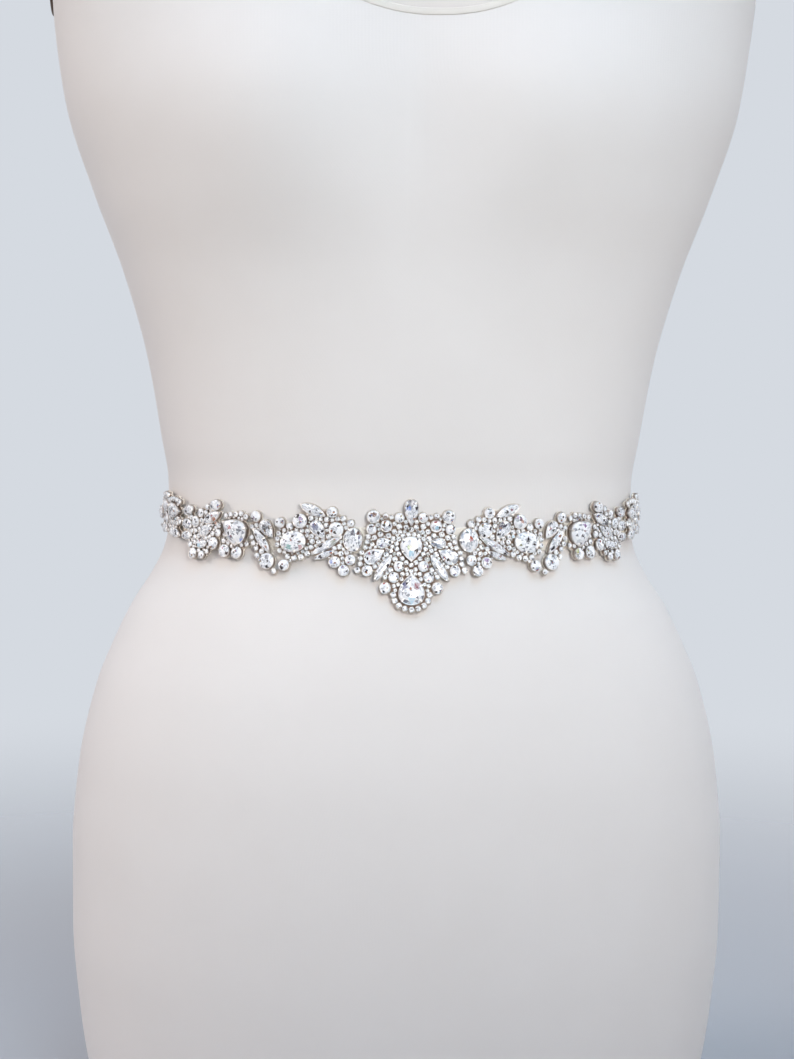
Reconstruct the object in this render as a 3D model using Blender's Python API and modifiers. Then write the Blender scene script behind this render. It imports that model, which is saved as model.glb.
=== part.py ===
"""Bridal sash on a limbless dress form.

A band of narrow satin ribbon goes once round the waist of the form and is tied in a knot
at the centre back, with two plain tails. Eleven crystal appliques, each trimmed close round
its stones, are sewn onto the band end to end: a pointed medallion at the centre front and
five sprays on each side, the left ones mirroring the right ones.

Frame: metres, +Z up. The origin is the centre of the form's flat underside, and the front
faces -Y. Left and right are as seen from the front, so right is +X.
Lengths in the tables and functions are millimetres and become metres as a mesh is made.
On the waist, s is the distance along the tape from the centre front, to the right, v is the
height above the band's line, and out is the distance from the form's surface.
"""

import math
from collections import namedtuple

import bmesh
import bpy
import numpy as np
from mathutils import Vector, geometry

MM = 0.001
SEAM_GAP = 0.3

# The form: sections through the torso, from the underside to the top of the neck.
WAIST_HEIGHT = 300
FORM_HEIGHT = 755
FORM_SIDES = 36
FORM_OVALITY = 1.4
FORM_EDGE = 3
ARM_END_X = 168.4
Section = namedtuple("Section", "height half_width front_depth back_depth squareness")
FORM_SECTIONS = [
    Section(0, 144, 100, 104, 2.30),
    Section(33, 152.7, 107, 116, 2.30),
    Section(62, 157, 110, 124, 2.30),
    Section(102, 160.2, 113, 129, 2.30),
    Section(142, 160.3, 114, 130, 2.30),
    Section(181, 157.2, 113, 126, 2.30),
    Section(221, 148.3, 108, 115, 2.28),
    Section(241, 140.3, 103.5, 107, 2.26),
    Section(260, 131.0, 98, 98, 2.24),
    Section(275, 121.4, 93, 91, 2.22),
    Section(288, 115.4, 90, 86.5, 2.20),
    Section(300, 113.3, 88.5, 84, 2.20),
    Section(320, 113.7, 89, 82.5, 2.20),
    Section(340, 116.9, 92, 83, 2.20),
    Section(379, 123.8, 97, 88, 2.22),
    Section(419, 135.0, 101, 95, 2.25),
    Section(458, 149.6, 104, 101, 2.25),
    Section(498, 162.5, 103, 105, 2.30),
    Section(537, 168.8, 97, 106, 2.35),
    Section(557, 172, 92, 105, 2.40),
    Section(600, 180, 80, 101, 2.40),
    Section(636, 181, 72, 96, 2.40),
    Section(662, 174, 62, 88, 2.35),
    Section(680, 150, 56, 80, 2.25),
    Section(694, 118, 53, 73, 2.15),
    Section(706, 92, 52, 67, 2.10),
    Section(718, 72, 52, 61, 2.05),
    Section(730, 61, 51, 56, 2.00),
    Section(755, 55, 50, 51, 2.00),
]
BUST_HEIGHT = 494
BUST_X = 80
BUST_RISE = 22
BUST_SPREAD = 40

# The boards that close the form's arm ends and neck.
ARM_BOARD_Y = 8
ARM_BOARD_HEIGHT = 599.5
ARM_BOARD_HALF_DEPTH = 33
ARM_BOARD_HALF_HEIGHT = 55.5
ARM_BOARD_THICKNESS = 2
NECK_BOARD_RADIUS = 46
NECK_BOARD_THICKNESS = 4

# The band: its line dips at the front and rises as much at the back.
BAND_DIP = 4
RIBBON_WIDTH = 12
RIBBON_THICKNESS = 1.0
RIBBON_OUT = 0.35
RIBBON_RISE = 1
RIBBON_STEP = 5
RIBBON_SPLIT = 88
GATHER_LENGTH = 26
GATHER_WIDTH = 9

# The knot and its tails, at the centre back.
KNOT_HALF_WIDTH = 7.5
KNOT_HALF_HEIGHT = 7.5
KNOT_THICKNESS = 8
KNOT_CREASES = 3
KNOT_CREASE_DEPTH = 0.7
TAIL_DROP = 258
TAIL_TOP_X = 5.2
TAIL_SPREAD = 26
TAIL_WIDTH_AT_KNOT = 8.6
TAIL_SLANT = 7
TAIL_CLEAR = 1.3
TAIL_RIPPLE = 2.2
TAIL_RIPPLE_LENGTH = 96
TAIL_ROWS = 30

# The appliques: a cut backing with claw-set stones standing on it.
BACKING_THICKNESS = 1.0
BACKING_OUT = RIBBON_OUT + RIBBON_THICKNESS + SEAM_GAP
BACKING_MARGIN = 0.25
BACKING_GRID = 7
LINK_REACH = 2.2
LINK_WIDTH = 1.6
OUTLINE_TOLERANCE = 0.12
TABLE_SHARE = 0.6
PLAIN_STONE_WIDTH = 5.5

Stone = namedtuple("Stone", "cut s v length width angle", defaults=(None, 0))
Chaton = namedtuple("Chaton", "s v size")

# Stones on the centre line, point down, point down and point up.
CENTRE_LINE_STONES = [
    Stone("pear", 0, 14.6, 12.0, 6.6, -90),
    Stone("pear", 0, -2.9, 11.6, 10.2, -90),
    Stone("pear", 0, -21.7, 14.6, 12.2, 90),
]
# A row of chatons follows part of a stone's outline: from and to are shares of the way
# round it, counted from its point or right end.
Halo = namedtuple("Halo", "stone gap size spacing start end")
CENTRE_HALOS = [
    Halo(CENTRE_LINE_STONES[1], 1.55, 2.35, 2.6, 0.0, 1.0),
    Halo(CENTRE_LINE_STONES[2], 1.6, 2.75, 3.0, 0.28, 0.72),
]

# The right half of the medallion, and the five sprays of the right side.
STONES = {
    "centre": [
        Stone("round", 5.3, 12.1, 4.7),
        Stone("round", 11.2, 8.2, 5.6),
        Stone("round", 16.9, 12.4, 6.2),
        Stone("round", 17.8, 6.6, 4.9),
        Stone("pear", 11.9, -0.1, 7.8, 5.0, 175),
        Stone("pear", 16.4, -6.2, 10.0, 6.8, 150),
        Stone("navette", 12.5, -11.9, 14.2, 4.3, -57),
        Stone("round", 5.4, -10.9, 5.0),
        Stone("round", 7.6, -16.1, 5.0),
        Stone("round", 11.2, -20.9, 5.4),
        Stone("round", 19.2, -13.2, 5.2),
    ],
    "spray_1": [
        Stone("oval", 26.0, 1.2, 11.0, 9.0, 90),
        Stone("round", 33.6, 6.0, 7.0),
        Stone("round", 35.4, 13.9, 5.2),
        Stone("navette", 44.2, 14.6, 12.6, 4.8, 22),
        Stone("round", 50.0, 9.4, 7.0),
        Stone("pear", 41.6, 5.5, 9.9, 6.3, -128),
        Stone("navette", 37.7, -1.9, 16.2, 3.9, -33),
        Stone("navette", 38.7, -6.6, 9.8, 2.9, -24),
        Stone("oval", 52.9, -0.9, 12.4, 10.0, -10),
        Stone("round", 54.9, 6.5, 3.6),
        Stone("round", 59.5, 8.0, 5.0),
        Stone("round", 26.8, -8.3, 5.0),
        Stone("round", 29.4, -13.4, 5.2),
        Stone("round", 33.6, -9.6, 5.4),
        Stone("round", 56.3, -12.2, 5.4),
    ],
    "spray_2": [
        Stone("pear", 65.6, 4.6, 9.4, 6.0, -128),
        Stone("navette", 68.2, -1.3, 13.8, 4.2, 49),
        Stone("round", 64.4, -10.9, 7.6),
        Stone("round", 71.3, 10.2, 5.2),
    ],
    "spray_3": [
        Stone("pear", 82.2, 3.0, 14.0, 11.8, 30),
        Stone("round", 80.0, -8.0, 5.8),
        Stone("round", 86.7, -7.8, 6.2),
    ],
    "spray_4": [
        Stone("oval", 93.2, 13.8, 6.8, 5.2, -10),
        Stone("navette", 95.6, 7.8, 12.0, 4.8, -26),
        Stone("pear", 98.6, 1.9, 10.4, 5.0, 150),
        Stone("round", 93.7, -4.9, 5.8),
        Stone("oval", 101.3, -5.8, 7.6, 4.4, -4),
        Stone("round", 105.6, -10.8, 5.2),
        Stone("round", 99.9, -11.0, 4.0),
        Stone("round", 106.1, 4.9, 5.4),
        Stone("round", 102.6, 9.4, 4.2),
        Stone("round", 91.8, 0.7, 3.8),
        Stone("oval", 111.6, 9.8, 7.6, 4.8, -15),
        Stone("oval", 112.6, 3.2, 8.0, 5.0, 0),
        Stone("oval", 112.6, -2.8, 8.4, 4.0, 0),
        Stone("round", 108.9, -6.9, 3.2),
    ],
    "spray_5": [
        Stone("pear", 124.8, 8.4, 12.0, 7.0, 180),
        Stone("navette", 124.4, -2.6, 12.8, 4.4, 6),
        Stone("oval", 136.0, 9.6, 8.0, 5.6, 10),
        Stone("navette", 138.2, -1.4, 12.6, 4.4, 4),
        Stone("round", 134.2, 3.8, 4.6),
        Stone("pear", 146.2, 5.6, 11.0, 6.4, 0),
    ],
}
CHATONS = {
    "centre": [
        Chaton(2.3, 7.7, 2.5),
        Chaton(5.4, 8.0, 2.8),
        Chaton(8.9, 12.3, 2.2),
        Chaton(11.5, 12.8, 2.6),
        Chaton(7.6, 5.6, 2.6),
        Chaton(10.2, 3.7, 2.6),
        Chaton(13.8, 4.3, 2.8),
        Chaton(19.3, 3.0, 2.6),
        Chaton(19.6, 0.3, 2.3),
        Chaton(16.5, 2.6, 2.6),
        Chaton(20.3, -2.4, 2.3),
        Chaton(21.9, -4.8, 2.4),
        Chaton(22.4, -7.5, 2.4),
        Chaton(22.4, -10.1, 2.5),
        Chaton(23.5, -13.0, 3.0),
        Chaton(17.4, -0.8, 2.1),
        Chaton(1.9, -12.3, 2.1),
        Chaton(3.8, -14.5, 2.2),
        Chaton(9.1, -3.8, 2.2),
        Chaton(7.5, -19.9, 2.0),
    ],
    "spray_1": [
        Chaton(27.1, 9.0, 3.6),
        Chaton(37.9, 10.5, 2.7),
        Chaton(30.5, 11.1, 2.8),
        Chaton(46.7, 4.7, 2.6),
        Chaton(44.7, 2.4, 2.4),
        Chaton(44.4, -0.3, 2.6),
        Chaton(44.7, -3.1, 2.5),
        Chaton(41.5, -0.6, 2.4),
        Chaton(46.2, -6.2, 2.8),
        Chaton(48.9, -7.8, 2.8),
        Chaton(51.9, -8.4, 2.9),
        Chaton(55.0, -8.0, 2.8),
        Chaton(60.2, 2.9, 2.5),
        Chaton(60.7, 0.1, 2.5),
        Chaton(60.5, -2.8, 2.5),
        Chaton(59.1, -5.6, 2.6),
        Chaton(31.1, -5.6, 2.6),
        Chaton(57.6, 4.6, 2.0),
    ],
    "spray_2": [
        Chaton(73.4, -0.1, 2.5),
        Chaton(72.3, -2.8, 2.6),
        Chaton(70.6, -5.2, 2.6),
        Chaton(69.6, -8.6, 2.8),
        Chaton(60.5, -15.4, 2.8),
        Chaton(71.0, 6.1, 2.4),
        Chaton(73.4, 5.2, 2.4),
    ],
    "spray_3": [
        Chaton(76.5, 9.6, 2.7),
        Chaton(79.0, 10.9, 2.7),
        Chaton(81.8, 10.4, 2.7),
        Chaton(84.6, 10.0, 2.7),
        Chaton(87.3, 9.3, 2.6),
        Chaton(88.1, -2.9, 2.8),
        Chaton(87.9, 0.1, 2.4),
        Chaton(75.6, -3.7, 2.4),
        Chaton(83.4, -5.2, 1.9),
    ],
    "spray_4": [
        Chaton(91.3, 4.4, 2.6),
        Chaton(98.3, 12.5, 2.9),
        Chaton(106.4, 0.4, 2.6),
        Chaton(106.5, -3.0, 2.6),
        Chaton(96.9, -1.9, 2.2),
        Chaton(97.1, -9.0, 2.4),
    ],
    "spray_5": [
        Chaton(119.7, 3.5, 2.7),
        Chaton(122.6, 2.4, 2.7),
        Chaton(125.5, 2.4, 2.7),
        Chaton(128.4, 2.7, 2.7),
        Chaton(119.8, 12.9, 2.7),
        Chaton(122.7, 13.6, 2.7),
        Chaton(125.7, 13.8, 2.7),
        Chaton(128.6, 13.5, 2.6),
        Chaton(131.4, 12.6, 2.6),
        Chaton(133.5, 14.9, 2.9),
        Chaton(136.7, 15.1, 2.9),
        Chaton(139.8, 14.4, 2.8),
        Chaton(141.9, 12.0, 2.6),
    ],
}


# ---------------------------------------------------------------- scene and materials


def start_scene(name):
    """An empty scene with one collection named for the object."""
    for obj in list(bpy.data.objects):
        bpy.data.objects.remove(obj, do_unlink=True)
    collection = bpy.data.collections.new(name)
    bpy.context.scene.collection.children.link(collection)
    return collection


def material(name, colour, roughness, metallic=0.0):
    made = bpy.data.materials.new(name)
    made.use_nodes = True
    shader = made.node_tree.nodes["Principled BSDF"]
    shader.inputs["Base Color"].default_value = (*colour, 1.0)
    shader.inputs["Roughness"].default_value = roughness
    shader.inputs["Metallic"].default_value = metallic
    return made


def add_object(name, mesh, collection, finish, smooth_angle=35):
    mesh.materials.append(finish)
    mesh.shade_smooth()
    mesh.set_sharp_from_angle(angle=math.radians(smooth_angle))
    obj = bpy.data.objects.new(name, mesh)
    collection.objects.link(obj)
    return obj


def mesh_from(name, points, faces):
    """A mesh from points in millimetres and lists of point numbers."""
    mesh = bpy.data.meshes.new(name)
    mesh.from_pydata([tuple(p) for p in np.asarray(points) * MM], [], faces)
    mesh.validate()
    return mesh


def strip_faces(rows, columns, wrap=False):
    """Quads of a grid of points numbered row by row, closed into a tube if wrap is set."""
    last = columns if wrap else columns - 1
    return [
        [r * columns + c, r * columns + (c + 1) % columns, (r + 1) * columns + (c + 1) % columns, (r + 1) * columns + c]
        for r in range(rows - 1)
        for c in range(last)
    ]


# ---------------------------------------------------------------- the form's surface


def monotone_slopes(x, y):
    """Slopes of a smooth curve through the rows of y that never overshoots them."""
    step = np.diff(x)
    rise = np.diff(y, axis=0) / step[:, None]
    slopes = np.zeros_like(y)
    slopes[0] = rise[0]
    slopes[-1] = rise[-1]
    for k in range(1, len(x) - 1):
        before = 2 * step[k] + step[k - 1]
        after = step[k] + 2 * step[k - 1]
        same_way = rise[k - 1] * rise[k] > 0
        safe_before = np.where(same_way, rise[k - 1], 1.0)
        safe_after = np.where(same_way, rise[k], 1.0)
        mean = (before + after) / (before / safe_before + after / safe_after)
        slopes[k] = np.where(same_way, mean, 0.0)
    return slopes


SECTION_HEIGHTS = np.array([section.height for section in FORM_SECTIONS], float)
SECTION_SHAPES = np.array([section[1:] for section in FORM_SECTIONS], float)
SECTION_SLOPES = monotone_slopes(SECTION_HEIGHTS, SECTION_SHAPES)


def section_at(height):
    """Half width, front depth, back depth and squareness at each height, by cubic steps."""
    height = np.clip(height, SECTION_HEIGHTS[0], SECTION_HEIGHTS[-1])
    k = np.clip(np.searchsorted(SECTION_HEIGHTS, height, side="right") - 1, 0, len(SECTION_HEIGHTS) - 2)
    step = (SECTION_HEIGHTS[k + 1] - SECTION_HEIGHTS[k])[..., None]
    t = (height - SECTION_HEIGHTS[k])[..., None] / step
    ends = (2 * t**3 - 3 * t**2 + 1) * SECTION_SHAPES[k] + (3 * t**2 - 2 * t**3) * SECTION_SHAPES[k + 1]
    bends = (t**3 - 2 * t**2 + t) * SECTION_SLOPES[k] + (t**3 - t**2) * SECTION_SLOPES[k + 1]
    return ends + bends * step


def form_point(turn, height):
    """Points of the torso: a rounded oval at each height, turn counted from the front."""
    turn, height = np.broadcast_arrays(np.asarray(turn, float), np.asarray(height, float))
    half_width, front, back, power = np.moveaxis(section_at(height), -1, 0)
    depth = np.where(np.cos(turn) > 0, front, back)
    across = (np.abs(np.sin(turn)) / half_width) ** power
    along = (np.abs(np.cos(turn)) / depth) ** power
    radius = (across + along) ** (-1 / power)
    x = radius * np.sin(turn)
    from_bust = (np.abs(x) - BUST_X) ** 2 + (height - BUST_HEIGHT) ** 2
    bust = BUST_RISE * np.exp(-from_bust / (2 * BUST_SPREAD**2)) * np.clip(np.cos(turn), 0, 1)
    return np.stack([x, -radius * np.cos(turn) - bust, height], axis=-1)


# The tape measure round the waist: distance from the centre front at each turn.
WAIST_TURNS = np.linspace(-math.pi, math.pi, 4001)
_waist_loop = form_point(WAIST_TURNS, WAIST_HEIGHT)
_waist_steps = np.linalg.norm(np.diff(_waist_loop, axis=0), axis=1)
WAIST_GIRTH = _waist_steps.sum()
WAIST_TAPE = np.concatenate([[0], np.cumsum(_waist_steps)]) - WAIST_GIRTH / 2


def on_waist(s, v, out):
    """Points out from the form's surface, at s along the tape and v above the band's line."""
    turn = np.interp(s, WAIST_TAPE, WAIST_TURNS)
    height = WAIST_HEIGHT - BAND_DIP * np.cos(turn) + v
    nudge = 0.001
    along = form_point(turn + nudge, height) - form_point(turn - nudge, height)
    upward = form_point(turn, height + 0.5) - form_point(turn, height - 0.5)
    outward = np.cross(along, upward)
    outward /= np.linalg.norm(outward, axis=-1, keepdims=True)
    return form_point(turn, height) + outward * np.asarray(out, float)[..., None]


# ---------------------------------------------------------------- the dress form


def ring_heights():
    """Heights of the torso's rings: 4 mm apart at the waist, and wider apart elsewhere."""
    waist = np.arange(WAIST_HEIGHT - 36, WAIST_HEIGHT + 25, 4)
    below = np.linspace(FORM_EDGE, waist[0], 12)[:-1]
    above = np.linspace(waist[-1], FORM_HEIGHT - 93, 16)[1:]
    shoulder = np.linspace(FORM_HEIGHT - 93, FORM_HEIGHT - FORM_EDGE, 8)[1:]
    return np.concatenate([below, waist, above, shoulder])


def make_dress_form(collection, finish):
    """The torso is a loft of ovals, with the arm ends cut flat and the neck cut level."""
    even = np.arange(FORM_SIDES) * 2 * math.pi / FORM_SIDES
    turns = np.arctan2(FORM_OVALITY * np.sin(even), np.cos(even))
    heights = ring_heights()
    rings = [form_point(turns, height) for height in heights]
    bottom = form_point(turns, 0.0)
    bottom[:, :2] *= 1 - FORM_EDGE / 144
    top = form_point(turns, float(FORM_HEIGHT))
    top[:, :2] *= 1 - FORM_EDGE / 55
    rings = [bottom, *rings, top]
    points = np.concatenate(rings)
    faces = strip_faces(len(rings), FORM_SIDES, wrap=True)
    last = len(points) - FORM_SIDES
    faces.append(list(range(FORM_SIDES))[::-1])
    faces.append(list(range(last, last + FORM_SIDES)))
    mesh = mesh_from("dress_form", points, faces)
    body = bmesh.new()
    body.from_mesh(mesh)
    for side in (-1, 1):
        cut = bmesh.ops.bisect_plane(
            body,
            geom=body.verts[:] + body.edges[:] + body.faces[:],
            dist=1e-6,
            plane_co=(side * ARM_END_X * MM, 0, 0),
            plane_no=(side, 0, 0),
            clear_outer=True,
        )
        rim = [item for item in cut["geom_cut"] if isinstance(item, bmesh.types.BMEdge)]
        bmesh.ops.edgeloop_fill(body, edges=rim)
    bmesh.ops.recalc_face_normals(body, faces=body.faces[:])
    body.to_mesh(mesh)
    body.free()
    add_object("dress_form", mesh, collection, finish)


def make_board(name, centre, half_sizes, turn_to_x, collection, finish):
    """An oval board: a cylinder brought to its half sizes, its axis up or along X."""
    board = bmesh.new()
    bmesh.ops.create_cone(board, cap_ends=True, segments=24, radius1=1, radius2=1, depth=2)
    for vert in board.verts:
        if turn_to_x:
            vert.co = Vector((vert.co.z, vert.co.x, vert.co.y))
        vert.co = Vector(c + a * h for c, a, h in zip(centre, vert.co, half_sizes)) * MM
    mesh = bpy.data.meshes.new(name)
    board.to_mesh(mesh)
    board.free()
    add_object(name, mesh, collection, finish)


def make_boards(collection, finish):
    """Thin oval boards close the arm ends and the neck."""
    half = ARM_BOARD_THICKNESS / 2
    for side, name in ((-1, "arm_board_left"), (1, "arm_board_right")):
        centre = (side * (ARM_END_X + SEAM_GAP + half), ARM_BOARD_Y, ARM_BOARD_HEIGHT)
        sizes = (half, ARM_BOARD_HALF_DEPTH, ARM_BOARD_HALF_HEIGHT)
        make_board(name, centre, sizes, True, collection, finish)
    half = NECK_BOARD_THICKNESS / 2
    centre = (0, 0, FORM_HEIGHT + SEAM_GAP + half)
    sizes = (NECK_BOARD_RADIUS, NECK_BOARD_RADIUS, half)
    make_board("neck_board", centre, sizes, False, collection, finish)


# ---------------------------------------------------------------- ribbon, knot and tails


def solidified(name, grid, thickness, collection, finish):
    """An open grid of points made a wall of even thickness on its outer side."""
    rows, columns = grid.shape[:2]
    mesh = mesh_from(name, grid.reshape(-1, 3), strip_faces(rows, columns))
    obj = add_object(name, mesh, collection, finish)
    wall = obj.modifiers.new("Wall", "SOLIDIFY")
    wall.thickness = thickness * MM
    wall.offset = 1
    return obj


def make_ribbon_stretch(name, start, end, collection, finish):
    """The band from start to end along the tape, gathered narrower beside the knot."""
    count = int(abs(end - start) / RIBBON_STEP) + 1
    s = np.linspace(start, end, count)
    from_knot = WAIST_GIRTH / 2 - KNOT_HALF_WIDTH - np.abs(s)
    share = np.clip(from_knot / GATHER_LENGTH, 0, 1)
    width = GATHER_WIDTH + (RIBBON_WIDTH - GATHER_WIDTH) * share * share * (3 - 2 * share)
    across = np.array([-0.5, 0.0, 0.5])
    v = RIBBON_RISE + across[:, None] * width[None, :]
    grid = on_waist(np.broadcast_to(s, v.shape), v, np.full(v.shape, RIBBON_OUT))
    solidified(name, grid, RIBBON_THICKNESS, collection, finish)


def make_ribbon(collection, finish):
    """Three stretches of the one band: behind the front appliques, and round each side."""
    side_end = WAIST_GIRTH / 2 - KNOT_HALF_WIDTH - SEAM_GAP
    side_start = RIBBON_SPLIT + SEAM_GAP
    make_ribbon_stretch("ribbon_front", -RIBBON_SPLIT, RIBBON_SPLIT, collection, finish)
    make_ribbon_stretch("ribbon_left", -side_end, -side_start, collection, finish)
    make_ribbon_stretch("ribbon_right", side_start, side_end, collection, finish)


def make_knot(collection, finish):
    """A rounded pad with its creases running up and down, flatter on its inner side."""
    columns, rows = 26, 10
    around = np.arange(columns) * 2 * math.pi / columns
    upward = (np.arange(1, rows) / rows - 0.5) * math.pi
    turn, lift = np.meshgrid(around, upward)
    fullness = np.abs(np.cos(lift)) ** 0.55
    x = KNOT_HALF_WIDTH * np.sign(np.sin(turn)) * np.abs(np.sin(turn)) ** 0.7 * fullness
    v = KNOT_HALF_HEIGHT * np.sin(lift)
    half = KNOT_THICKNESS / 2
    crease = 0.5 + 0.5 * np.cos(2 * math.pi * KNOT_CREASES * (x / KNOT_HALF_WIDTH + 1) / 2)
    outer = np.clip(np.cos(turn), 0, 1)
    lift_off = half * np.sign(np.cos(turn)) * np.abs(np.cos(turn)) ** 0.6 * fullness
    lift_off = lift_off - KNOT_CREASE_DEPTH * crease * outer
    shift = WAIST_GIRTH / 2
    body = on_waist(shift - x, RIBBON_RISE + v, RIBBON_OUT + half + lift_off)
    ends = on_waist(
        np.array([shift, shift]),
        RIBBON_RISE + np.array([-KNOT_HALF_HEIGHT, KNOT_HALF_HEIGHT]),
        np.array([RIBBON_OUT + half] * 2),
    )
    # Past the centre back the tape would run out, so the other half is mirrored.
    other = x < 0
    body[other, 0] = -on_waist(shift + x, RIBBON_RISE + v, RIBBON_OUT + half + lift_off)[other, 0]
    body[other, 1:] = on_waist(shift + x, RIBBON_RISE + v, RIBBON_OUT + half + lift_off)[other, 1:]
    points = np.concatenate([body.reshape(-1, 3), ends])
    faces = strip_faces(rows - 1, columns, wrap=True)
    low, high = len(points) - 2, len(points) - 1
    last = (rows - 2) * columns
    for c in range(columns):
        after = (c + 1) % columns
        faces.append([low, after, c])
        faces.append([high, last + c, last + after])
    mesh = mesh_from("ribbon_knot", points, faces)
    knot = bmesh.new()
    knot.from_mesh(mesh)
    bmesh.ops.recalc_face_normals(knot, faces=knot.faces[:])
    knot.to_mesh(mesh)
    knot.free()
    add_object("ribbon_knot", mesh, collection, finish, smooth_angle=50)


def hanging_depths(heights):
    """How far back a tail hangs: taut over the hollow of the back, straight off the seat."""
    depths = section_at(heights)[:, 2] + TAIL_CLEAR
    widest = int(np.argmax(depths))
    depths[widest:] = depths[widest]
    corners = [0]
    while corners[-1] < widest:
        here = corners[-1]
        ahead = np.arange(here + 1, widest + 1)
        slopes = (depths[ahead] - depths[here]) / (heights[here] - heights[ahead])
        corners.append(int(ahead[np.argmax(slopes)]))
    corners += list(range(widest + 1, len(heights)))
    return np.interp(-heights, -heights[corners], depths[corners])


def make_tail(name, side, collection, finish):
    """A tail falls from under the knot, with a slow ripple and a slanted end."""
    top = WAIST_HEIGHT + BAND_DIP + RIBBON_RISE - KNOT_HALF_HEIGHT - SEAM_GAP
    down = np.linspace(0, 1, TAIL_ROWS)
    heights = top - TAIL_DROP * down
    depths = hanging_depths(heights)
    loosened = np.clip(down * TAIL_DROP / 40, 0, 1)
    width = TAIL_WIDTH_AT_KNOT + (RIBBON_WIDTH - TAIL_WIDTH_AT_KNOT) * loosened
    middle = TAIL_TOP_X + TAIL_SPREAD * down**1.15
    across = np.linspace(-0.5, 0.5, 4)
    x = middle[:, None] + across[None, :] * width[:, None]
    z = heights[:, None] - TAIL_SLANT * (across[None, :] + 0.5) * down[:, None] ** 12
    shape = section_at(heights)
    half_width, power = shape[:, 0:1], shape[:, 3:4]
    rounding = (1 - (x / half_width) ** power) ** (1 / power)
    phase = 2 * math.pi * down[:, None] * TAIL_DROP / TAIL_RIPPLE_LENGTH + 0.6 * side
    ripple = TAIL_RIPPLE * (0.5 - 0.5 * np.cos(phase)) * loosened[:, None]
    curl = 0.45 * TAIL_RIPPLE * across[None, :] * np.sin(0.7 * phase) * loosened[:, None]
    at_knot = 2.4 * (1 - loosened[:, None])
    y = depths[:, None] * rounding + ripple + np.abs(curl) + curl + at_knot
    grid = np.stack([side * x, y, z], axis=-1)
    if side < 0:
        grid = grid[:, ::-1]
    solidified(name, grid, RIBBON_THICKNESS, collection, finish)


# ---------------------------------------------------------------- appliques


def stone_outline(stone, sides, grow=0.0):
    """A stone's outline in the band's own coordinates, counterclockwise from its point.

    Rounds and ovals are ellipses. A pear narrows towards its point by a power of the sine
    of half the turn, and a navette towards both points by a power of the sine. Growing
    moves each point out square to the outline.
    """
    width = stone.width or stone.length
    turn = np.arange(sides) * 2 * math.pi / sides
    x = np.cos(turn) * stone.length / 2
    y = np.sin(turn)
    if stone.cut == "pear":
        y = y * np.sin(turn / 2) ** 0.8
        y = y / np.abs(y).max()
    if stone.cut == "navette":
        y = y * np.abs(y) ** 0.45
    y = y * width / 2
    along_x = np.roll(x, -1) - np.roll(x, 1)
    along_y = np.roll(y, -1) - np.roll(y, 1)
    length = np.hypot(along_x, along_y)
    x, y = x + grow * along_y / length, y - grow * along_x / length
    angle = math.radians(stone.angle)
    return np.stack(
        [
            stone.s + x * math.cos(angle) - y * math.sin(angle),
            stone.v + x * math.sin(angle) + y * math.cos(angle),
        ],
        axis=1,
    )


def halo_chatons(halo):
    """Chatons evenly spaced along part of a stone's outline, grown by the halo's gap."""
    loop = stone_outline(halo.stone, 240, halo.gap)
    loop = np.concatenate([loop, loop[:1]])
    travelled = np.concatenate([[0], np.cumsum(np.hypot(*np.diff(loop, axis=0).T))])
    share = halo.end - halo.start
    count = round(share * travelled[-1] / halo.spacing)
    steps = np.arange(count if share == 1 else count + 1) / count
    places = (halo.start + share * steps) * travelled[-1]
    s = np.interp(places, travelled, loop[:, 0])
    v = np.interp(places, travelled, loop[:, 1])
    return [Chaton(a, b, halo.size) for a, b in zip(s, v)]


def mirrored(stone):
    """The same stone or chaton on the other side of the centre front."""
    if isinstance(stone, Chaton):
        return stone._replace(s=-stone.s)
    return stone._replace(s=-stone.s, angle=180 - stone.angle)


def stone_sides(stone):
    """Sides of a stone's outline: more on a large or long one."""
    if stone.cut in ("pear", "oval"):
        return 12 if stone.length > 9 else 10
    if stone.cut == "navette":
        return 10
    return 10 if stone.length > 6.5 else 8


def nearest(a, b):
    return np.hypot(*(a[:, None] - b[None, :]).transpose(2, 0, 1)).min()


def link_strip(a, b):
    """A narrow strip of backing from the middle of one outline to the middle of another."""
    start, end = a.mean(axis=0), b.mean(axis=0)
    side = np.array([start[1] - end[1], end[0] - start[0]])
    side = side / np.hypot(*side) * LINK_WIDTH / 2
    return np.array([start - side, end - side, end + side, start + side])


def outer_loop(outlines):
    """The outer edge of overlapping outlines, as one closed counterclockwise loop."""
    points = []
    faces = []
    for outline in outlines:
        faces.append(list(range(len(points), len(points) + len(outline))))
        points.extend(Vector(p) for p in outline)
    verts, _, triangles, _, _, _ = geometry.delaunay_2d_cdt(points, [], faces, 1, 1e-5)
    edges = {(a, b) for tri in triangles for a, b in zip(tri, tri[1:] + tri[:1])}
    following = {a: b for a, b in edges if (b, a) not in edges}
    loops = []
    while following:
        first, second = following.popitem()
        loop = [first]
        while second != first:
            loop.append(second)
            second = following.pop(second)
        loops.append(np.array([verts[k] for k in loop]))
    return max(loops, key=loop_area)


def loop_area(loop):
    after = np.roll(loop, -1, axis=0)
    return 0.5 * np.sum(loop[:, 0] * after[:, 1] - after[:, 0] * loop[:, 1])


def thinned(loop, tolerance):
    """The loop without the points that lie within the tolerance of the chords between others."""
    far = int(np.argmax(np.hypot(*(loop - loop[0]).T)))
    closed = np.concatenate([loop, loop[:1]])
    kept = {0, far}
    spans = [(0, far), (far, len(loop))]
    while spans:
        start, end = spans.pop()
        if end - start < 2:
            continue
        a, b = closed[start], closed[end]
        chord = (b - a) / np.hypot(*(b - a))
        offsets = closed[start + 1 : end] - a
        away = np.abs(offsets[:, 0] * chord[1] - offsets[:, 1] * chord[0])
        if away.max() < tolerance:
            continue
        middle = start + 1 + int(np.argmax(away))
        kept.add(middle)
        spans += [(start, middle), (middle, end)]
    return loop[sorted(kept)]


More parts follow.
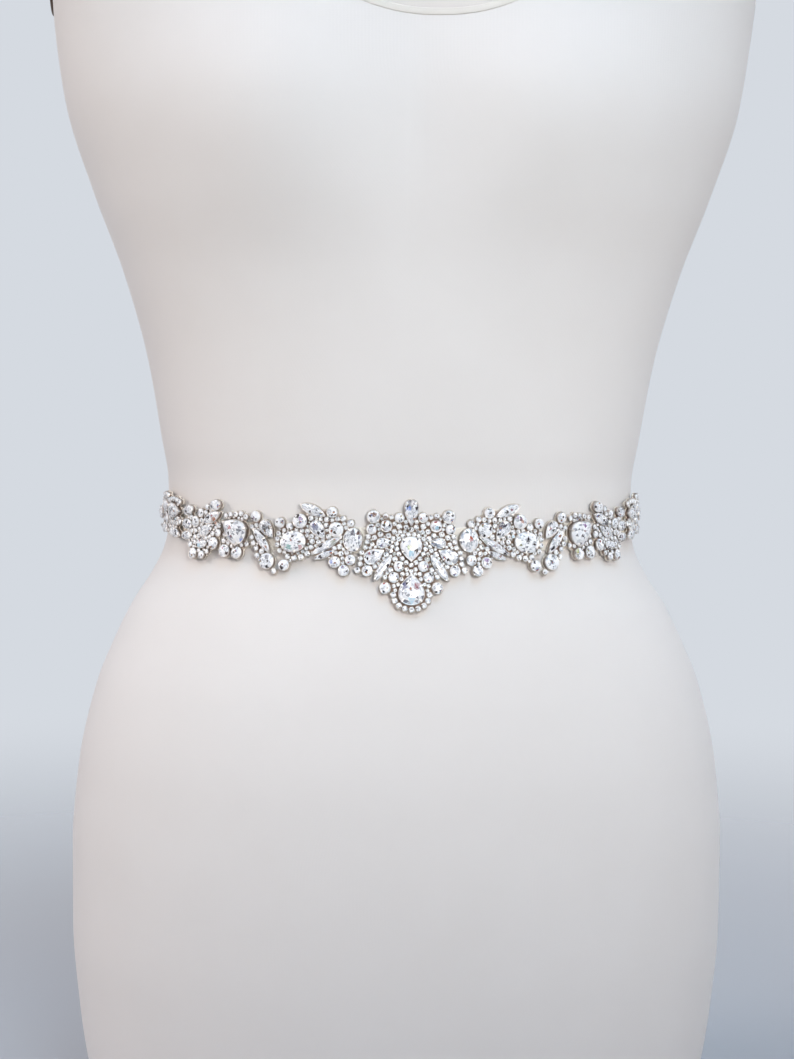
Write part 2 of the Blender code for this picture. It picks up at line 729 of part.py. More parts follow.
def inside(points, loop):
    """Which points lie inside a closed loop, by counting the edges to their right."""
    x, y = points[:, 0:1], points[:, 1:2]
    a, b = loop, np.roll(loop, -1, axis=0)
    spans = (a[:, 1] > y) != (b[:, 1] > y)
    slope = (b[:, 0] - a[:, 0]) / np.where(b[:, 1] == a[:, 1], 1, b[:, 1] - a[:, 1])
    crossing = a[:, 0] + (y - a[:, 1]) * slope
    return (spans & (x < crossing)).sum(axis=1) % 2 == 1


def grid_points(loop, others):
    """A regular grid inside the loop, leaving out points near any outline."""
    low, high = loop.min(axis=0), loop.max(axis=0)
    s, v = np.meshgrid(
        np.arange(low[0] + BACKING_GRID / 2, high[0], BACKING_GRID),
        np.arange(low[1] + BACKING_GRID / 2, high[1], BACKING_GRID),
    )
    points = np.stack([s.ravel(), v.ravel()], axis=1)
    clear = inside(points, loop)
    for outline in [loop, *others]:
        clear &= np.hypot(*(points[:, None] - outline[None, :]).transpose(2, 0, 1)).min(axis=1) > 1.2
    for outline in others:
        clear &= ~inside(points, outline)
    return points[clear]


def stone_frame(stone):
    """A stone's seat on the backing, and the directions along, up and out from it."""
    seat = BACKING_OUT + BACKING_THICKNESS
    s, v = float(stone.s), float(stone.v)
    centre = on_waist(s, v, seat)
    along = on_waist(s + 0.5, v, seat) - on_waist(s - 0.5, v, seat)
    outward = on_waist(s, v, seat + 1) - centre
    along /= np.linalg.norm(along)
    upward = np.cross(outward, along)
    return centre, along, upward, outward


def stone_ring(stone, outline, share, height):
    """The stone's outline shrunk about its middle and raised, flat as the stone is."""
    centre, along, upward, outward = stone_frame(stone)
    local = (outline - [stone.s, stone.v]) * share
    return centre + local[:, :1] * along + local[:, 1:] * upward + height * outward


def make_applique(name, stones, chatons, collection, finish):
    """A backing wall cut round its stones, with each large stone raised in its outer side.

    The top is triangulated round the stones' outlines, and each outline is carried up as
    the cup's wall, in to the table, and closed. The inner side is plain.
    """
    grown = [stone_outline(stone, 24, BACKING_MARGIN) for stone in stones]
    for chaton in chatons:
        disc = Stone("round", chaton.s, chaton.v, chaton.size)
        grown.append(stone_outline(disc, 12, BACKING_MARGIN))
    links = [
        link_strip(a, b)
        for k, a in enumerate(grown)
        for b in grown[:k]
        if nearest(a, b) < LINK_REACH
    ]
    edge = thinned(outer_loop(grown + links), OUTLINE_TOLERANCE)
    outlines = [stone_outline(stone, stone_sides(stone)) for stone in stones]

    flat = [edge, *outlines]
    starts = np.cumsum([0] + [len(part) for part in flat])
    faces = [list(range(a, b)) for a, b in zip(starts[:-1], starts[1:])]
    loose = np.concatenate(flat + [grid_points(edge, outlines)])
    verts, _, triangles, origins, _, within = geometry.delaunay_2d_cdt(
        [Vector(p) for p in loose], [], faces, 1, 1e-6
    )
    place_of = {old: new for new, olds in enumerate(origins) for old in olds}
    plan = np.array([tuple(v) for v in verts])
    seat = BACKING_OUT + BACKING_THICKNESS
    points = [*on_waist(plan[:, 0], plan[:, 1], np.full(len(plan), seat))]
    solid_faces = [tri for tri, owners in zip(triangles, within) if list(owners) == [0]]

    for k, (stone, outline) in enumerate(zip(stones, outlines)):
        width = stone.width or stone.length
        girdle = 0.9 + 0.16 * width
        table = girdle + 0.14 * width
        rings = [(TABLE_SHARE, table)]
        if width > PLAIN_STONE_WIDTH:
            rings = [(1.0, girdle), *rings]
        low = [place_of[p] for p in faces[k + 1]]
        for share, height in rings:
            high = [len(points) + i for i in range(len(low))]
            points += [*stone_ring(stone, outline, share, height)]
            for a, b, c, d in zip(low, low[1:] + low[:1], high[1:] + high[:1], high):
                solid_faces.append([a, b, c, d])
            low = high
        solid_faces.append(low)

    edge_top = [place_of[p] for p in faces[0]]
    plain = np.concatenate([edge, grid_points(edge, [])])
    verts, _, triangles, origins, _, _ = geometry.delaunay_2d_cdt(
        [Vector(p) for p in plain], [], [faces[0]], 1, 1e-6
    )
    place_of = {old: new for new, olds in enumerate(origins) for old in olds}
    plan = np.array([tuple(v) for v in verts])
    first = len(points)
    points += [*on_waist(plan[:, 0], plan[:, 1], np.full(len(plan), BACKING_OUT))]
    solid_faces += [[first + a for a in tri[::-1]] for tri in triangles]
    edge_under = [first + place_of[p] for p in faces[0]]
    for i, j in zip(range(len(edge)), [*range(1, len(edge)), 0]):
        solid_faces.append([edge_under[i], edge_under[j], edge_top[j], edge_top[i]])
    mesh = mesh_from(name, points, solid_faces)
    add_object(name, mesh, collection, finish, smooth_angle=20)


def make_appliques(collection, finish):
    """The medallion from both halves of its table, and each spray on both sides."""
    stones = CENTRE_LINE_STONES + STONES["centre"] + [mirrored(stone) for stone in STONES["centre"]]
    chatons = CHATONS["centre"] + [mirrored(chaton) for chaton in CHATONS["centre"]]
    for halo in CENTRE_HALOS:
        chatons += halo_chatons(halo)
    make_applique("applique_centre", stones, chatons, collection, finish)
    for spray in [name for name in STONES if name != "centre"]:
        right = STONES[spray], CHATONS[spray]
        left = [mirrored(stone) for stone in right[0]], [mirrored(chaton) for chaton in right[1]]
        make_applique(f"{spray}_right", *right, collection, finish)
        make_applique(f"{spray}_left", *left, collection, finish)


def make_part():
    collection = start_scene("bridal_sash")
    jersey = material("cotton_jersey_cover", (0.80, 0.79, 0.78), 0.85)
    board = material("painted_board", (0.70, 0.68, 0.65), 0.6)
    satin = material("ivory_satin_ribbon", (0.86, 0.84, 0.79), 0.35)
    crystal = material("silver_claws_and_crystal", (0.80, 0.81, 0.83), 0.15, 0.6)
    make_dress_form(collection, jersey)
    make_boards(collection, board)
    make_ribbon(collection, satin)
    make_knot(collection, satin)
    make_tail("ribbon_tail_left", -1, collection, satin)
    make_tail("ribbon_tail_right", 1, collection, satin)
    make_appliques(collection, crystal)


make_part()
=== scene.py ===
"""A bridal sash on a limbless dress form.

Lengths are millimetres in the tables and functions, and become metres as a mesh is made.
The front of the form faces -Y and right is +X, as seen from the front. On the waist, s is
the distance along the tape from the centre front, to the right, v is the height above the
sash's line, and out is the distance from the form's surface.
"""

import math
from collections import namedtuple

import bpy
import numpy as np
from mathutils import Matrix, Vector, geometry


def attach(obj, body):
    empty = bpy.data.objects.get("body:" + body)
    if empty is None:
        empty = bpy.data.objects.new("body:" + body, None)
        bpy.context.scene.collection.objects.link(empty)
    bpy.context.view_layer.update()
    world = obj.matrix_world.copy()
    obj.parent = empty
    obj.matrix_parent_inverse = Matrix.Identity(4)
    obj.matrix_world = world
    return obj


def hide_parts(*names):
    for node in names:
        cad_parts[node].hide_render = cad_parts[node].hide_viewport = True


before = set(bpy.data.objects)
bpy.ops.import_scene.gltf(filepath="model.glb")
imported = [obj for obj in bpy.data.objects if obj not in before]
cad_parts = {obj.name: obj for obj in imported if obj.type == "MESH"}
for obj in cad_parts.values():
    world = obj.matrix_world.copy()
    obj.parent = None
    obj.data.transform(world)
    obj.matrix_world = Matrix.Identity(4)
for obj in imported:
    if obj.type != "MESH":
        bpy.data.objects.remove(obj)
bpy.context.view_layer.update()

# ---- Camera ------------------------------------------------------------------------
# A long lens at the height of the waist looks a little down and from a little to the
# left of the centre front. It is turned by half a degree, as a camera held by hand is.

VIEW_DISTANCE = 1.2
VIEW_AZIMUTH = math.radians(-3.3)
VIEW_ELEVATION = math.radians(4.5)
VIEW_ROLL = math.radians(0.5)
VIEW_TARGET = Vector((-0.0012, 0.0, 0.2953))
VIEW_LENS = 82.5

towards_camera = Vector((
    math.sin(VIEW_AZIMUTH) * math.cos(VIEW_ELEVATION),
    -math.cos(VIEW_AZIMUTH) * math.cos(VIEW_ELEVATION),
    math.sin(VIEW_ELEVATION),
))
camera_data = bpy.data.cameras.new("camera")
camera_data.lens = VIEW_LENS
camera_data.sensor_width = 36
camera = bpy.data.objects.new("camera", camera_data)
bpy.context.scene.collection.objects.link(camera)
upright = towards_camera.to_track_quat("Z", "Y").to_matrix().to_4x4()
place = Matrix.Translation(VIEW_TARGET + towards_camera * VIEW_DISTANCE)
camera.matrix_world = place @ upright @ Matrix.Rotation(VIEW_ROLL, 4, "Z")
bpy.context.scene.camera = camera


# ---- Studio ------------------------------------------------------------------------
# A pale matt floor fades into an even blue-grey backdrop. In front of it the room is warmer
# and dimmer, most of all low down, and soft lamps light the form from above and both sides.

MM = 0.001
FLOOR_RADIUS = 4.0
FLOOR_SIDES = 96
FLOOR_SOLID_TO = 0.1
FLOOR_GONE_AT = 1.35
FLOOR_COLOUR = "#B2B7BE"
BACKDROP_COLOUR = "#D5DAE1"
ROOM_LOW_COLOUR = "#6F6F6F"
ROOM_HIGH_COLOUR = "#A69797"
# Directions, as shares of one: the backdrop takes over from the room between these two
# going back, and the room reaches its upper colour at this height.
ROOM_TO_BACKDROP = (-0.35, 0.15)
ROOM_HIGH_FROM = 0.7
LAMPS_AIM = (0, 0, 0.33)


def linear(hex_colour):
    """The linear RGBA of an sRGB hex colour, by the standard's own curve."""
    channels = [int(hex_colour[k : k + 2], 16) / 255 for k in (1, 3, 5)]
    lit = [c / 12.92 if c <= 0.04045 else ((c + 0.055) / 1.055) ** 2.4 for c in channels]
    return (*lit, 1.0)


def add_node(tree, kind, settings=None, inputs=None):
    """A node with its settings, and its sockets given values or linked to other sockets."""
    node = tree.nodes.new(kind)
    for name, value in (settings or {}).items():
        setattr(node, name, value)
    for name, value in (inputs or {}).items():
        if isinstance(value, bpy.types.NodeSocket):
            tree.links.new(value, node.inputs[name])
        else:
            node.inputs[name].default_value = value
    return node


def blend(tree, share, low, high):
    """A colour that goes from the low one to the high one by a share. Each is a hex colour
    or another node's socket."""
    ends = [linear(end) if isinstance(end, str) else end for end in (low, high)]
    mix = add_node(tree, "ShaderNodeMix", {"data_type": "RGBA"}, {0: share, 6: ends[0], 7: ends[1]})
    return mix.outputs[2]


def noise(tree, vector, scale, detail, roughness=0.5):
    """Soft noise of so many clouds to a unit of the vector, from nought to one."""
    inputs = {"Vector": vector, "Scale": scale, "Detail": detail, "Roughness": roughness}
    return add_node(tree, "ShaderNodeTexNoise", None, inputs).outputs["Fac"]


def add_relief(tree, shader, height, strength, depth):
    """Give a shader a height's fine relief, as deep as so many millimetres."""
    inputs = {"Height": height, "Strength": strength, "Distance": depth * MM}
    bump = add_node(tree, "ShaderNodeBump", None, inputs)
    tree.links.new(bump.outputs["Normal"], shader.inputs["Normal"])


def new_material(name, sockets):
    """A material with one Principled shader, its sockets set."""
    made = bpy.data.materials.new(name)
    made.use_nodes = True
    shader = made.node_tree.nodes["Principled BSDF"]
    for socket, value in sockets.items():
        shader.inputs[socket].default_value = value
    return made, shader


def grid_faces(rows, columns, closed=False):
    """Quads of a grid numbered row by row; a closed grid joins its last column to its first."""
    r, c = np.mgrid[0 : rows - 1, 0 : columns - (not closed)]
    after = (c + 1) % columns
    corners = [r * columns + c, r * columns + after, (r + 1) * columns + after, (r + 1) * columns + c]
    return np.stack(corners, axis=-1).reshape(-1, 4)


def tube_faces(rows, columns):
    """A closed grid's quads, with one face over its first row and one over its last."""
    start = list(range(columns))[::-1]
    end = list(range((rows - 1) * columns, rows * columns))
    return grid_faces(rows, columns, closed=True).tolist() + [start, end]


def ring_faces(rows, columns):
    """Quads of a grid that closes both ways."""
    return grid_faces(rows + 1, columns, closed=True) % (rows * columns)


def new_object(name, points, faces, finish, smooth=True):
    """An object from points in millimetres and lists of point numbers."""
    mesh = bpy.data.meshes.new(name)
    mesh.from_pydata(np.asarray(points, float).reshape(-1, 3) * MM, [], faces)
    mesh.polygons.foreach_set("use_smooth", np.full(len(mesh.polygons), smooth))
    mesh.materials.append(finish)
    made = bpy.data.objects.new(name, mesh)
    bpy.context.scene.collection.objects.link(made)
    return made


def area_light(name, place_m, aim_m, size, spread, power, colour):
    """A soft rectangular lamp: places and size in metres, spread in degrees, power in watts."""
    lamp = bpy.data.lights.new(name, "AREA")
    lamp.shape = "RECTANGLE"
    lamp.size, lamp.size_y = size
    lamp.spread = math.radians(spread)
    lamp.energy = power
    lamp.color = linear(colour)[:3]
    lit = bpy.data.objects.new(name, lamp)
    lit.location = place_m
    lit.rotation_euler = (Vector(aim_m) - Vector(place_m)).to_track_quat("-Z", "Y").to_euler()
    bpy.context.scene.collection.objects.link(lit)


floor_paint, floor_shader = new_material("matt_painted_floor", {"Roughness": 0.9})
floor_shader.inputs["Base Color"].default_value = linear(FLOOR_COLOUR)
tree = floor_paint.node_tree
where = add_node(tree, "ShaderNodeTexCoord")
distance = add_node(tree, "ShaderNodeVectorMath", {"operation": "LENGTH"}, {0: where.outputs["Object"]})
fade = add_node(tree, "ShaderNodeMapRange", {"interpolation_type": "SMOOTHSTEP"}, {
    "Value": distance.outputs["Value"],
    "From Min": FLOOR_SOLID_TO,
    "From Max": FLOOR_GONE_AT,
    "To Min": 1.0,
    "To Max": 0.0,
})
tree.links.new(fade.outputs["Result"], floor_shader.inputs["Alpha"])
ring = np.linspace(0, 2 * math.pi, FLOOR_SIDES, endpoint=False)
floor_edge = np.stack([np.cos(ring), np.sin(ring), 0 * ring], axis=1) * FLOOR_RADIUS / MM
new_object("floor", floor_edge, [list(range(FLOOR_SIDES))], floor_paint)

world = bpy.data.worlds.new("surround")
world.use_nodes = True
tree = world.node_tree
where = add_node(tree, "ShaderNodeTexCoord")
direction = add_node(tree, "ShaderNodeSeparateXYZ", None, {0: where.outputs["Generated"]})
behind = add_node(tree, "ShaderNodeMapRange", None, {
    "Value": direction.outputs["Y"],
    "From Min": ROOM_TO_BACKDROP[0],
    "From Max": ROOM_TO_BACKDROP[1],
})
above = add_node(tree, "ShaderNodeMapRange", None, {
    "Value": direction.outputs["Z"],
    "From Min": 0.0,
    "From Max": ROOM_HIGH_FROM,
})
room = blend(tree, above.outputs["Result"], ROOM_LOW_COLOUR, ROOM_HIGH_COLOUR)
surround = blend(tree, behind.outputs["Result"], room, BACKDROP_COLOUR)
tree.links.new(surround, tree.nodes["Background"].inputs["Color"])
bpy.context.scene.world = world
bpy.context.scene.view_settings.view_transform = "Standard"

area_light("ceiling", (0.0, -0.3, 2.3), LAMPS_AIM, (1.8, 1.4), 180, 4.3, "#FFF0FD")
area_light("room_left", (-1.9, -0.2, 1.2), LAMPS_AIM, (1.0, 1.0), 60, 2.2, "#FFF2EA")
area_light("room_right", (1.9, -0.3, 0.9), LAMPS_AIM, (1.0, 1.4), 180, 1.4, "#FFE4D0")
area_light("window", (0.3, -1.0, 1.7), (0, 0, 0.45), (0.8, 0.8), 60, 1.33, "#AADFFF")
area_light("lamp", (0.3, -1.5, 0.7), (0, 0, 0.36), (0.6, 0.6), 32, 0.82, "#FFFCF8")


# ---- Dress form --------------------------------------------------------------------
# A limbless torso under a close-fitting cover of ivory cotton and elastane jersey. The
# cover is cut with a scoop neck, and above it the form's own cream calico shows.

FORM_COLUMNS = 224
FORM_ROWS = 300
FORM_OVALITY = 1.4
FORM_HEIGHT = 755
FORM_EDGE = 3
FORM_EDGE_STEPS = 6
ARM_END_X = 168.4
ARM_END_ROUNDING = 0.8
Section = namedtuple("Section", "height half_width front_depth back_depth squareness")
FORM_SECTIONS = [
    Section(0, 144, 100, 104, 2.30),
    Section(33, 152.7, 107, 116, 2.30),
    Section(62, 157, 110, 124, 2.30),
    Section(102, 160.2, 113, 129, 2.30),
    Section(142, 160.3, 114, 130, 2.30),
    Section(181, 157.2, 113, 126, 2.30),
    Section(221, 148.3, 108, 115, 2.28),
    Section(241, 140.3, 103.5, 107, 2.26),
    Section(260, 131.0, 98, 98, 2.24),
    Section(275, 121.4, 93, 91, 2.22),
    Section(288, 115.4, 90, 86.5, 2.20),
    Section(300, 113.3, 88.5, 84, 2.20),
    Section(320, 113.7, 89, 82.5, 2.20),
    Section(340, 116.9, 92, 83, 2.20),
    Section(379, 123.8, 97, 88, 2.22),
    Section(419, 135.0, 101, 95, 2.25),
    Section(458, 149.6, 104, 101, 2.25),
    Section(498, 162.5, 103, 105, 2.30),
    Section(537, 168.8, 97, 106, 2.35),
    Section(557, 172, 92, 105, 2.40),
    Section(600, 180, 80, 101, 2.40),
    Section(636, 181, 72, 96, 2.40),
    Section(662, 174, 62, 88, 2.35),
    Section(680, 150, 56, 80, 2.25),
    Section(694, 118, 53, 73, 2.15),
    Section(706, 92, 52, 67, 2.10),
    Section(718, 72, 52, 61, 2.05),
    Section(730, 61, 51, 56, 2.00),
    Section(755, 55, 50, 51, 2.00),
]
BUST_HEIGHT = 494
BUST_X = 80
BUST_RISE = 22
BUST_SPREAD = 40
NECKLINE_LOW = 535
NECKLINE_HIGH = 700
NECKLINE_HALF_WIDTH = 105
NECKLINE_CENTRE_X = 10
NECKLINE_SQUARENESS = 2.25
NECKLINE_BLEND = 0.6
JERSEY_COLOUR = "#E9E6E4"
JERSEY_SHADE_COLOUR = "#E2DEDB"
JERSEY_MOTTLES_PER_METRE = 14
CALICO_COLOUR = "#DFD9D4"
WALE_SPACING = 1.6
COURSE_SPACING = 0.7 * WALE_SPACING
KNIT_DEPTH = 0.12
# A wave texture of scale one repeats after this many metres.
WAVE_PERIOD = math.pi / 10


def monotone_slopes(x, y):
    """Slopes of a smooth curve through the rows of y that never overshoots them."""
    step = np.diff(x)
    rise = np.diff(y, axis=0) / step[:, None]
    slopes = np.zeros_like(y)
    slopes[0] = rise[0]
    slopes[-1] = rise[-1]
    before = (2 * step[1:] + step[:-1])[:, None]
    after = (step[1:] + 2 * step[:-1])[:, None]
    same_way = rise[:-1] * rise[1:] > 0
    safe_before = np.where(same_way, rise[:-1], 1.0)
    safe_after = np.where(same_way, rise[1:], 1.0)
    mean = (before + after) / (before / safe_before + after / safe_after)
    slopes[1:-1] = np.where(same_way, mean, 0.0)
    return slopes


section_heights = np.array([section.height for section in FORM_SECTIONS], float)
section_shapes = np.array([section[1:] for section in FORM_SECTIONS], float)
section_slopes = monotone_slopes(section_heights, section_shapes)


def section_at(height):
    """Half width, front depth, back depth and squareness at each height, by cubic steps."""
    height = np.clip(height, section_heights[0], section_heights[-1])
    k = np.searchsorted(section_heights, height, side="right") - 1
    k = np.clip(k, 0, len(section_heights) - 2)
    step = (section_heights[k + 1] - section_heights[k])[..., None]
    t = (height - section_heights[k])[..., None] / step
    ends = (2 * t**3 - 3 * t**2 + 1) * section_shapes[k] + (3 * t**2 - 2 * t**3) * section_shapes[k + 1]
    bends = (t**3 - 2 * t**2 + t) * section_slopes[k] + (t**3 - t**2) * section_slopes[k + 1]
    return ends + bends * step


def form_point(turn, height):
    """Points of the torso: at each height the superellipse |x/w|^n + |y/d|^n = 1, taken in
    the direction of the turn from the front, with two soft mounds added at the bust."""
    turn, height = np.broadcast_arrays(np.asarray(turn, float), np.asarray(height, float))
    half_width, front, back, power = np.moveaxis(section_at(height), -1, 0)
    depth = np.where(np.cos(turn) > 0, front, back)
    across = (np.abs(np.sin(turn)) / half_width) ** power
    along = (np.abs(np.cos(turn)) / depth) ** power
    radius = (across + along) ** (-1 / power)
    x = radius * np.sin(turn)
    from_bust = (np.abs(x) - BUST_X) ** 2 + (height - BUST_HEIGHT) ** 2
    bust = BUST_RISE * np.exp(-from_bust / (2 * BUST_SPREAD**2)) * np.clip(np.cos(turn), 0, 1)
    return np.stack([x, -radius * np.cos(turn) - bust, height], axis=-1)


def inside_neckline(x, height):
    """About how far inside the scoop neck a point of the front lies: one, less the two powers
    of a superellipse's lower half whose middle is moved aside, while its ends stay."""
    aside = NECKLINE_CENTRE_X * (1 - (x / NECKLINE_HALF_WIDTH) ** 2)
    across = np.abs(x - aside) / NECKLINE_HALF_WIDTH
    depth = NECKLINE_HIGH - NECKLINE_LOW
    below = np.clip(NECKLINE_HIGH - height, 0, None) / depth
    share = 1 - across**NECKLINE_SQUARENESS - below**NECKLINE_SQUARENESS
    return share * depth / NECKLINE_SQUARENESS


def set_uv(piece, u, v):
    """A UV map in metres from each face's corners' own distances, given in millimetres."""
    layer = piece.data.uv_layers.new(name="cloth")
    layer.data.foreach_set("uv", (np.stack([u, v], axis=-1) * MM).ravel())


def grid_corners(values):
    """A grid's values at its faces' corners. Where the mesh closes, the grid of values has
    one column more than the mesh."""
    low, high = values[:-1], values[1:]
    return np.stack([low[:, :-1], low[:, 1:], high[:, 1:], high[:, :-1]], axis=-1).ravel()


# Evenly spaced angles of an ellipse put more columns at the sides, where the form turns.
even = np.linspace(-math.pi, math.pi, FORM_COLUMNS, endpoint=False)
form_turns = np.arctan2(FORM_OVALITY * np.sin(even), np.cos(even))
rounding = np.linspace(0, math.pi / 2, FORM_EDGE_STEPS)
bottom_heights = FORM_EDGE * (1 - np.cos(rounding))
bottom_inset = FORM_EDGE * (1 - np.sin(rounding))
side_heights = np.linspace(FORM_EDGE, FORM_HEIGHT - FORM_EDGE, FORM_ROWS)[1:-1]
form_heights = np.concatenate([bottom_heights, side_heights, FORM_HEIGHT - bottom_heights[::-1]])
form_inset = np.concatenate([bottom_inset, 0 * side_heights, bottom_inset[::-1]])
body = form_point(form_turns[None, :], form_heights[:, None])
reach = np.linalg.norm(body[..., :2], axis=-1, keepdims=True)
body[..., :2] *= 1 - form_inset[:, None, None] / reach
past_end = np.log1p(np.exp((ARM_END_X - np.abs(body[..., 0])) / ARM_END_ROUNDING))
body[..., 0] = np.sign(body[..., 0]) * (ARM_END_X - ARM_END_ROUNDING * past_end)

# Weft-knit jersey: even columns of loops, matt and slightly fuzzy. The real wales are half
# a millimetre apart, too fine to show, and are drawn three times as wide.
jersey, shader = new_material("ivory_cotton_jersey", {
    "Roughness": 0.86,
    "Sheen Weight": 0.18,
    "Sheen Roughness": 0.6,
    "Specular IOR Level": 0.25,
})
tree = jersey.node_tree
cloth = add_node(tree, "ShaderNodeUVMap", {"uv_map": "cloth"})
where = add_node(tree, "ShaderNodeTexCoord")
above_neck = add_node(tree, "ShaderNodeAttribute", {"attribute_name": "above_neckline"})
bare = add_node(tree, "ShaderNodeMapRange", None, {
    "Value": above_neck.outputs["Fac"],
    "From Min": -NECKLINE_BLEND * MM,
    "From Max": NECKLINE_BLEND * MM,
})
mottle = noise(tree, where.outputs["Object"], JERSEY_MOTTLES_PER_METRE, 4.0, 0.6)
tint = blend(tree, mottle, JERSEY_COLOUR, JERSEY_SHADE_COLOUR)
shown = blend(tree, bare.outputs["Result"], tint, CALICO_COLOUR)
wales = add_node(tree, "ShaderNodeTexWave", {"wave_type": "BANDS", "bands_direction": "X"}, {
    "Vector": cloth.outputs["UV"],
    "Scale": WAVE_PERIOD / (WALE_SPACING * MM),
    "Distortion": 0.6,
    "Detail": 1.0,
})
courses = add_node(tree, "ShaderNodeTexWave", {"wave_type": "BANDS", "bands_direction": "Y"}, {
    "Vector": cloth.outputs["UV"],
    "Scale": WAVE_PERIOD / (COURSE_SPACING * MM),
    "Distortion": 0.6,
})
knit = add_node(tree, "ShaderNodeMath", {"operation": "MULTIPLY_ADD"}, {
    0: courses.outputs["Fac"],
    1: 0.5,
    2: wales.outputs["Fac"],
})
add_relief(tree, shader, knit.outputs["Value"], 0.08, KNIT_DEPTH)
tree.links.new(shown, shader.inputs["Base Color"])

torso = new_object("covered_torso", body, tube_faces(len(form_heights), FORM_COLUMNS), jersey)
closed_body = np.concatenate([body, body[:, :1]], axis=1)
across = np.cumsum(np.linalg.norm(np.diff(closed_body, axis=1), axis=2), axis=1)
across = np.concatenate([0 * across[:, :1], across], axis=1)
upward = np.broadcast_to(form_heights[:, None], across.shape)
ends = np.concatenate([body[0, ::-1], body[-1]])
set_uv(
    torso,
    np.concatenate([grid_corners(across), ends[:, 0]]),
    np.concatenate([grid_corners(upward), ends[:, 1]]),
)
over_front = body[..., 1] < 0
over_back = body[..., 2] - NECKLINE_HIGH
bared = np.where(over_front, inside_neckline(body[..., 0], body[..., 2]), over_back)
above = torso.data.attributes.new("above_neckline", "FLOAT", "POINT")
above.data.foreach_set("value", (bared * MM).ravel())
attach(torso, "root")
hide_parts("dress_form")


# ---- Neckline binding --------------------------------------------------------------
# A narrow strip of the same jersey, folded over the raw edge of the scoop neck and
# stitched down. It stands a little proud and casts a thin line of shade beneath.

BINDING_WIDTH = 3.4
BINDING_HEIGHT = 0.45
BINDING_OUT = 0.12
BINDING_POINTS = 240
BINDING_SIDES = 10
BINDING_COLOUR = "#E0DBD4"


def front_turn_at(x, height):
    """The turn of the front's point with this x. On the superellipse |x/w|^n + |y/d|^n = 1
    its depth is d (1 - |x/w|^n)^(1/n)."""
    half_width, front, _, power = np.moveaxis(section_at(height), -1, 0)
    share = np.clip(np.abs(x) / half_width, 0, 1)
    return np.arctan2(x, front * (1 - share**power) ** (1 / power))


def power_of(wave, power):
    """A sine or cosine raised to a power with its sign kept, which squares off its circle."""
    return np.sign(wave) * np.abs(wave) ** power


def form_frame(turn, height):
    """Points of the form with the directions round it and out of it there."""
    turn_step = 0.002
    around = form_point(turn + turn_step, height) - form_point(turn - turn_step, height)
    upward = form_point(turn, height + 0.5) - form_point(turn, height - 0.5)
    outward = np.cross(around, upward)
    around /= np.linalg.norm(around, axis=-1, keepdims=True)
    outward /= np.linalg.norm(outward, axis=-1, keepdims=True)
    return form_point(turn, height), around, outward


def carried(profile, path, outward):
    """A profile's (side, out) points carried round a closed path, square to it."""
    ahead = np.roll(path, -1, axis=0) - np.roll(path, 1, axis=0)
    ahead /= np.linalg.norm(ahead, axis=-1, keepdims=True)
    sideways = np.cross(outward, ahead)
    sideways /= np.linalg.norm(sideways, axis=-1, keepdims=True)
    return path[:, None] + profile[:, :1] * sideways[:, None] + profile[:, 1:] * outward[:, None]


# Over the front the binding follows the neckline's superellipse, whose middle is moved
# aside, and over the back it runs level.
front_turn = np.linspace(-1, 1, BINDING_POINTS * 2 // 3) * math.pi / 2
power = 2 / NECKLINE_SQUARENESS
evenly_x = NECKLINE_HALF_WIDTH * power_of(np.sin(front_turn), power)
bend = NECKLINE_CENTRE_X / NECKLINE_HALF_WIDTH**2
front_x = (np.sqrt(1 + 4 * bend * (evenly_x + NECKLINE_CENTRE_X)) - 1) / (2 * bend)
front_height = NECKLINE_HIGH - (NECKLINE_HIGH - NECKLINE_LOW) * np.cos(front_turn) ** power
turns_front = front_turn_at(front_x, front_height)
turns_back = np.linspace(turns_front[-1], turns_front[0] + 2 * math.pi, BINDING_POINTS // 3 + 2)[1:-1]
neck_turns = np.concatenate([turns_front, turns_back])
neck_heights = np.concatenate([front_height, np.full(len(turns_back), NECKLINE_HIGH)])
on_form, _, outward = form_frame(neck_turns, neck_heights)
around = np.linspace(0, 2 * math.pi, BINDING_SIDES, endpoint=False)
binding_profile = np.stack(
    [BINDING_WIDTH / 2 * np.cos(around), BINDING_HEIGHT / 2 * np.sin(around) + BINDING_OUT], axis=-1
)
binding_points = carried(binding_profile, on_form, outward)
binding_faces = ring_faces(len(on_form), BINDING_SIDES)
binding_finish, shader = new_material("folded_jersey_binding", {
    "Base Color": linear(BINDING_COLOUR),
    "Roughness": 0.85,
    "Sheen Weight": 0.15,
})
binding = new_object("neckline_binding", binding_points, binding_faces, binding_finish)
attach(binding, "root")


# ---- Arm and neck boards -----------------------------------------------------------
# Thin oval boards of dark-stained beech close the arm ends, and a round one the neck.
# Their edges are rounded over, and the stain lets a fine straight grain through.

ARM_BOARD_Y = 8
ARM_BOARD_HEIGHT = 599.5
ARM_BOARD_HALF_DEPTH = 33
ARM_BOARD_HALF_HEIGHT = 55.5
ARM_BOARD_THICKNESS = 2
NECK_BOARD_RADIUS = 46
NECK_BOARD_THICKNESS = 4
BOARD_GAP = 0.3
BOARD_SIDES = 96
BOARD_EDGE_STEPS = 9
BOARD_MIDDLE = 0.01
STAIN_COLOURS = ("#4A382B", "#6A5240")
GRAIN_SPACING = 2.2
GRAIN_PER_METRE_ALONG = 18
GRAIN_DEPTH = 0.2

